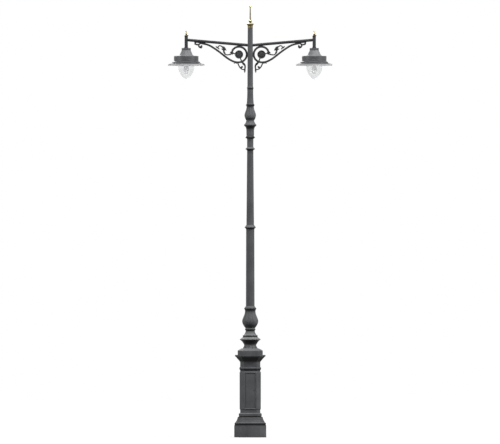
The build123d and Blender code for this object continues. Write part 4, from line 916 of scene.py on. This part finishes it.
# %% Model the right bowl
rib_count = 24
points_per_rib = 4
columns = rib_count * points_per_rib
flange_thickness = 0.006
smooth_at_tip = 0.012
smooth_at_top = 0.02
valley_share = 0.982
wall_thickness = 0.0035
shoulder_level = bowl_rim - flange_thickness
drops = [
    (0.130, -flange_thickness), (0.130, 0.0), (0.122, 0.0), (0.1220, 0.004), (0.1217, 0.030),
    (0.1211, 0.060), (0.1188, 0.080), (0.1130, 0.100), (0.1035, 0.120), (0.0921, 0.140),
    (0.0791, 0.160), (0.0650, 0.178), (0.0520, 0.192), (0.0395, 0.204), (0.0265, 0.214),
    (0.0150, 0.221), (0.0060, 0.2248),
]
bowl = turned(columns, [(radius, shoulder_level - drop) for radius, drop in drops])


def rib_valley(co):
    """Points in the hollows between the ribs, between the band's top and the tip."""
    if not bowl_tip + smooth_at_tip < co.z < shoulder_level - smooth_at_top:
        return False
    turn = math.atan2(co.y, co.x) / (2 * math.pi) * columns
    return round(turn) % points_per_rib == 2


select_points(bowl, rib_valley)
bpy.ops.transform.resize(value=(valley_share, valley_share, 1),
                         center_override=(0, 0, shoulder_level))
bpy.ops.mesh.select_all(action="SELECT")
bpy.ops.mesh.normals_make_consistent(inside=False)
bpy.ops.object.mode_set(mode="OBJECT")
smoother = bowl.modifiers.new("pressed", "SUBSURF")
smoother.levels = 1
smoother.render_levels = 1
bpy.ops.object.modifier_apply(modifier=smoother.name)
wall = bowl.modifiers.new("wall", "SOLIDIFY")
wall.thickness = wall_thickness
wall.offset = -1
bpy.ops.object.modifier_apply(modifier=wall.name)
bpy.ops.object.shade_smooth()
print("bowl", len(bowl.data.polygons), "faces")

# %% Copy the bowl to the left and tie both to their rings
bowl_left = twin(bowl)
for piece, name, along in ((bowl, "right", reach), (bowl_left, "left", -reach)):
    piece.location.x = along
    settle(piece)
    piece.name = f"bowl_ribbed_{name}"
    piece.data.materials.clear()
    piece.data.materials.append(clear_glass)
    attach(piece, f"bowl_ring_{name}")
    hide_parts(f"glass_bowl_{name}")

# %% Clear away what was only used to build with
for leftover in (leaf_blank, heavy_section, medium_section, light_section):
    bpy.data.objects.remove(leftover)

# %% [markdown]
# ## Floor, light and camera
#
# The object stands on a plain pale floor in front of a white background. The background's white
# belongs to what the camera, a reflection or the glass sees of the world. For all other rays the
# world is dim, so that the lamps set the light on the object and its colours stay as written.
#
# The floor glows a little for those same rays, weakly by the column, where its shadow has to show,
# and fully further off, where the floor has to melt into the background. The light it throws back
# at the object is that of a grey floor.

# %% World and floor
def background_rays(nodes, links):
    """1 for the rays that see the background: from the camera, off a gloss or through glass."""
    rays = nodes.new("ShaderNodeLightPath")
    direct = nodes.new("ShaderNodeMath")
    direct.operation = "MAXIMUM"
    links.new(rays.outputs["Is Camera Ray"], direct.inputs[0])
    links.new(rays.outputs["Is Transmission Ray"], direct.inputs[1])
    either = nodes.new("ShaderNodeMath")
    either.operation = "MAXIMUM"
    links.new(direct.outputs["Value"], either.inputs[0])
    links.new(rays.outputs["Is Glossy Ray"], either.inputs[1])
    return either.outputs["Value"]


world = bpy.data.worlds.new("studio")
bpy.context.scene.world = world
world.use_nodes = True
world_nodes = world.node_tree.nodes
world_links = world.node_tree.links
sky = world_nodes["Background"]
sky.inputs["Color"].default_value = (1, 1, 1, 1)
dim_world, white_world = 0.12, 1.0
level = world_nodes.new("ShaderNodeMapRange")
level.inputs["To Min"].default_value = dim_world
level.inputs["To Max"].default_value = white_world
world_links.new(background_rays(world_nodes, world_links), level.inputs["Value"])
world_links.new(level.outputs["Result"], sky.inputs["Strength"])

floor_size = 80
clear_selection()
bpy.ops.mesh.primitive_plane_add(size=floor_size, location=(0, 0, 0))
floor = bpy.context.object
floor.name = "floor"
floor_finish = bpy.data.materials.new("pale_floor")
floor_finish.use_nodes = True
floor_nodes = floor_finish.node_tree.nodes
floor_links = floor_finish.node_tree.links
matt = floor_nodes["Principled BSDF"]
matt.inputs["Roughness"].default_value = 0.9
lit_grey = (0.15, 0.15, 0.15)
seen_grey = (0.50, 0.50, 0.50)
floor_glow = 1.05
seen = background_rays(floor_nodes, floor_links)
floor_links.new(blended(floor_nodes, floor_links, seen, lit_grey, seen_grey),
                matt.inputs["Base Color"])
glow = floor_nodes.new("ShaderNodeEmission")
glow.inputs["Color"].default_value = (1, 1, 1, 1)
glow.inputs["Strength"].default_value = floor_glow
place = floor_nodes.new("ShaderNodeTexCoord")
away = floor_nodes.new("ShaderNodeVectorMath")
away.operation = "LENGTH"
floor_links.new(place.outputs["Object"], away.inputs[0])
share = floor_nodes.new("ShaderNodeMath")
share.operation = "MULTIPLY"
blend = floor_nodes.new("ShaderNodeMixShader")
floor_links.new(seen, share.inputs[0])
near_end, far_end = 1.0, 8.0
near_glow, far_glow = 0.2, 1.0
fade = between(floor_nodes, floor_links, away.outputs["Value"],
               near_end, far_end, near_glow, far_glow)
floor_links.new(fade, share.inputs[1])
floor_links.new(share.outputs["Value"], blend.inputs["Fac"])
floor_links.new(matt.outputs["BSDF"], blend.inputs[1])
floor_links.new(glow.outputs["Emission"], blend.inputs[2])
floor_links.new(blend.outputs["Shader"], floor_nodes["Material Output"].inputs["Surface"])
floor.data.materials.append(floor_finish)

# %% [markdown]
# Four large, soft lamps light the column: the main one from the right, one from above, a weaker
# one from the left, and one behind that lifts the edges. Large lamps give the broad, soft
# gradients that the turned pieces need to look round.

# %% Lamps
column_middle = Vector((0, 0, 3.2))


def soft_lamp(name, place, size, power):
    """A square lamp at a place, turned towards the middle of the column."""
    clear_selection()
    bpy.ops.object.light_add(type="AREA", location=place)
    lamp = bpy.context.object
    lamp.name = name
    lamp.rotation_euler = (column_middle - Vector(place)).to_track_quat("-Z", "Y").to_euler()
    lamp.data.size = size
    lamp.data.energy = power


soft_lamp("main_lamp", (17, -7.5, 15), 8.0, 6100)
soft_lamp("top_lamp", (0, -9, 26), 6.0, 5600)
soft_lamp("side_lamp", (-16, -6.5, 12), 8.0, 2800)
soft_lamp("back_lamp", (-4, 18, 16), 10.0, 2200)

# %% [markdown]
# The photograph was taken from far away with a long lens, level with the middle of the column, so
# its upright lines stay upright. The camera copies that.

# %% Camera
camera_place = (-0.0034, -208.33, 3.2286)
clear_selection()
bpy.ops.object.camera_add(location=camera_place, rotation=(math.radians(90), 0, 0))
camera = bpy.context.object
camera.data.lens = 1000
camera.data.sensor_width = 36
camera.data.clip_start = 1.0
camera.data.clip_end = 1000
bpy.context.scene.camera = camera
bpy.context.scene.view_settings.view_transform = "Standard"
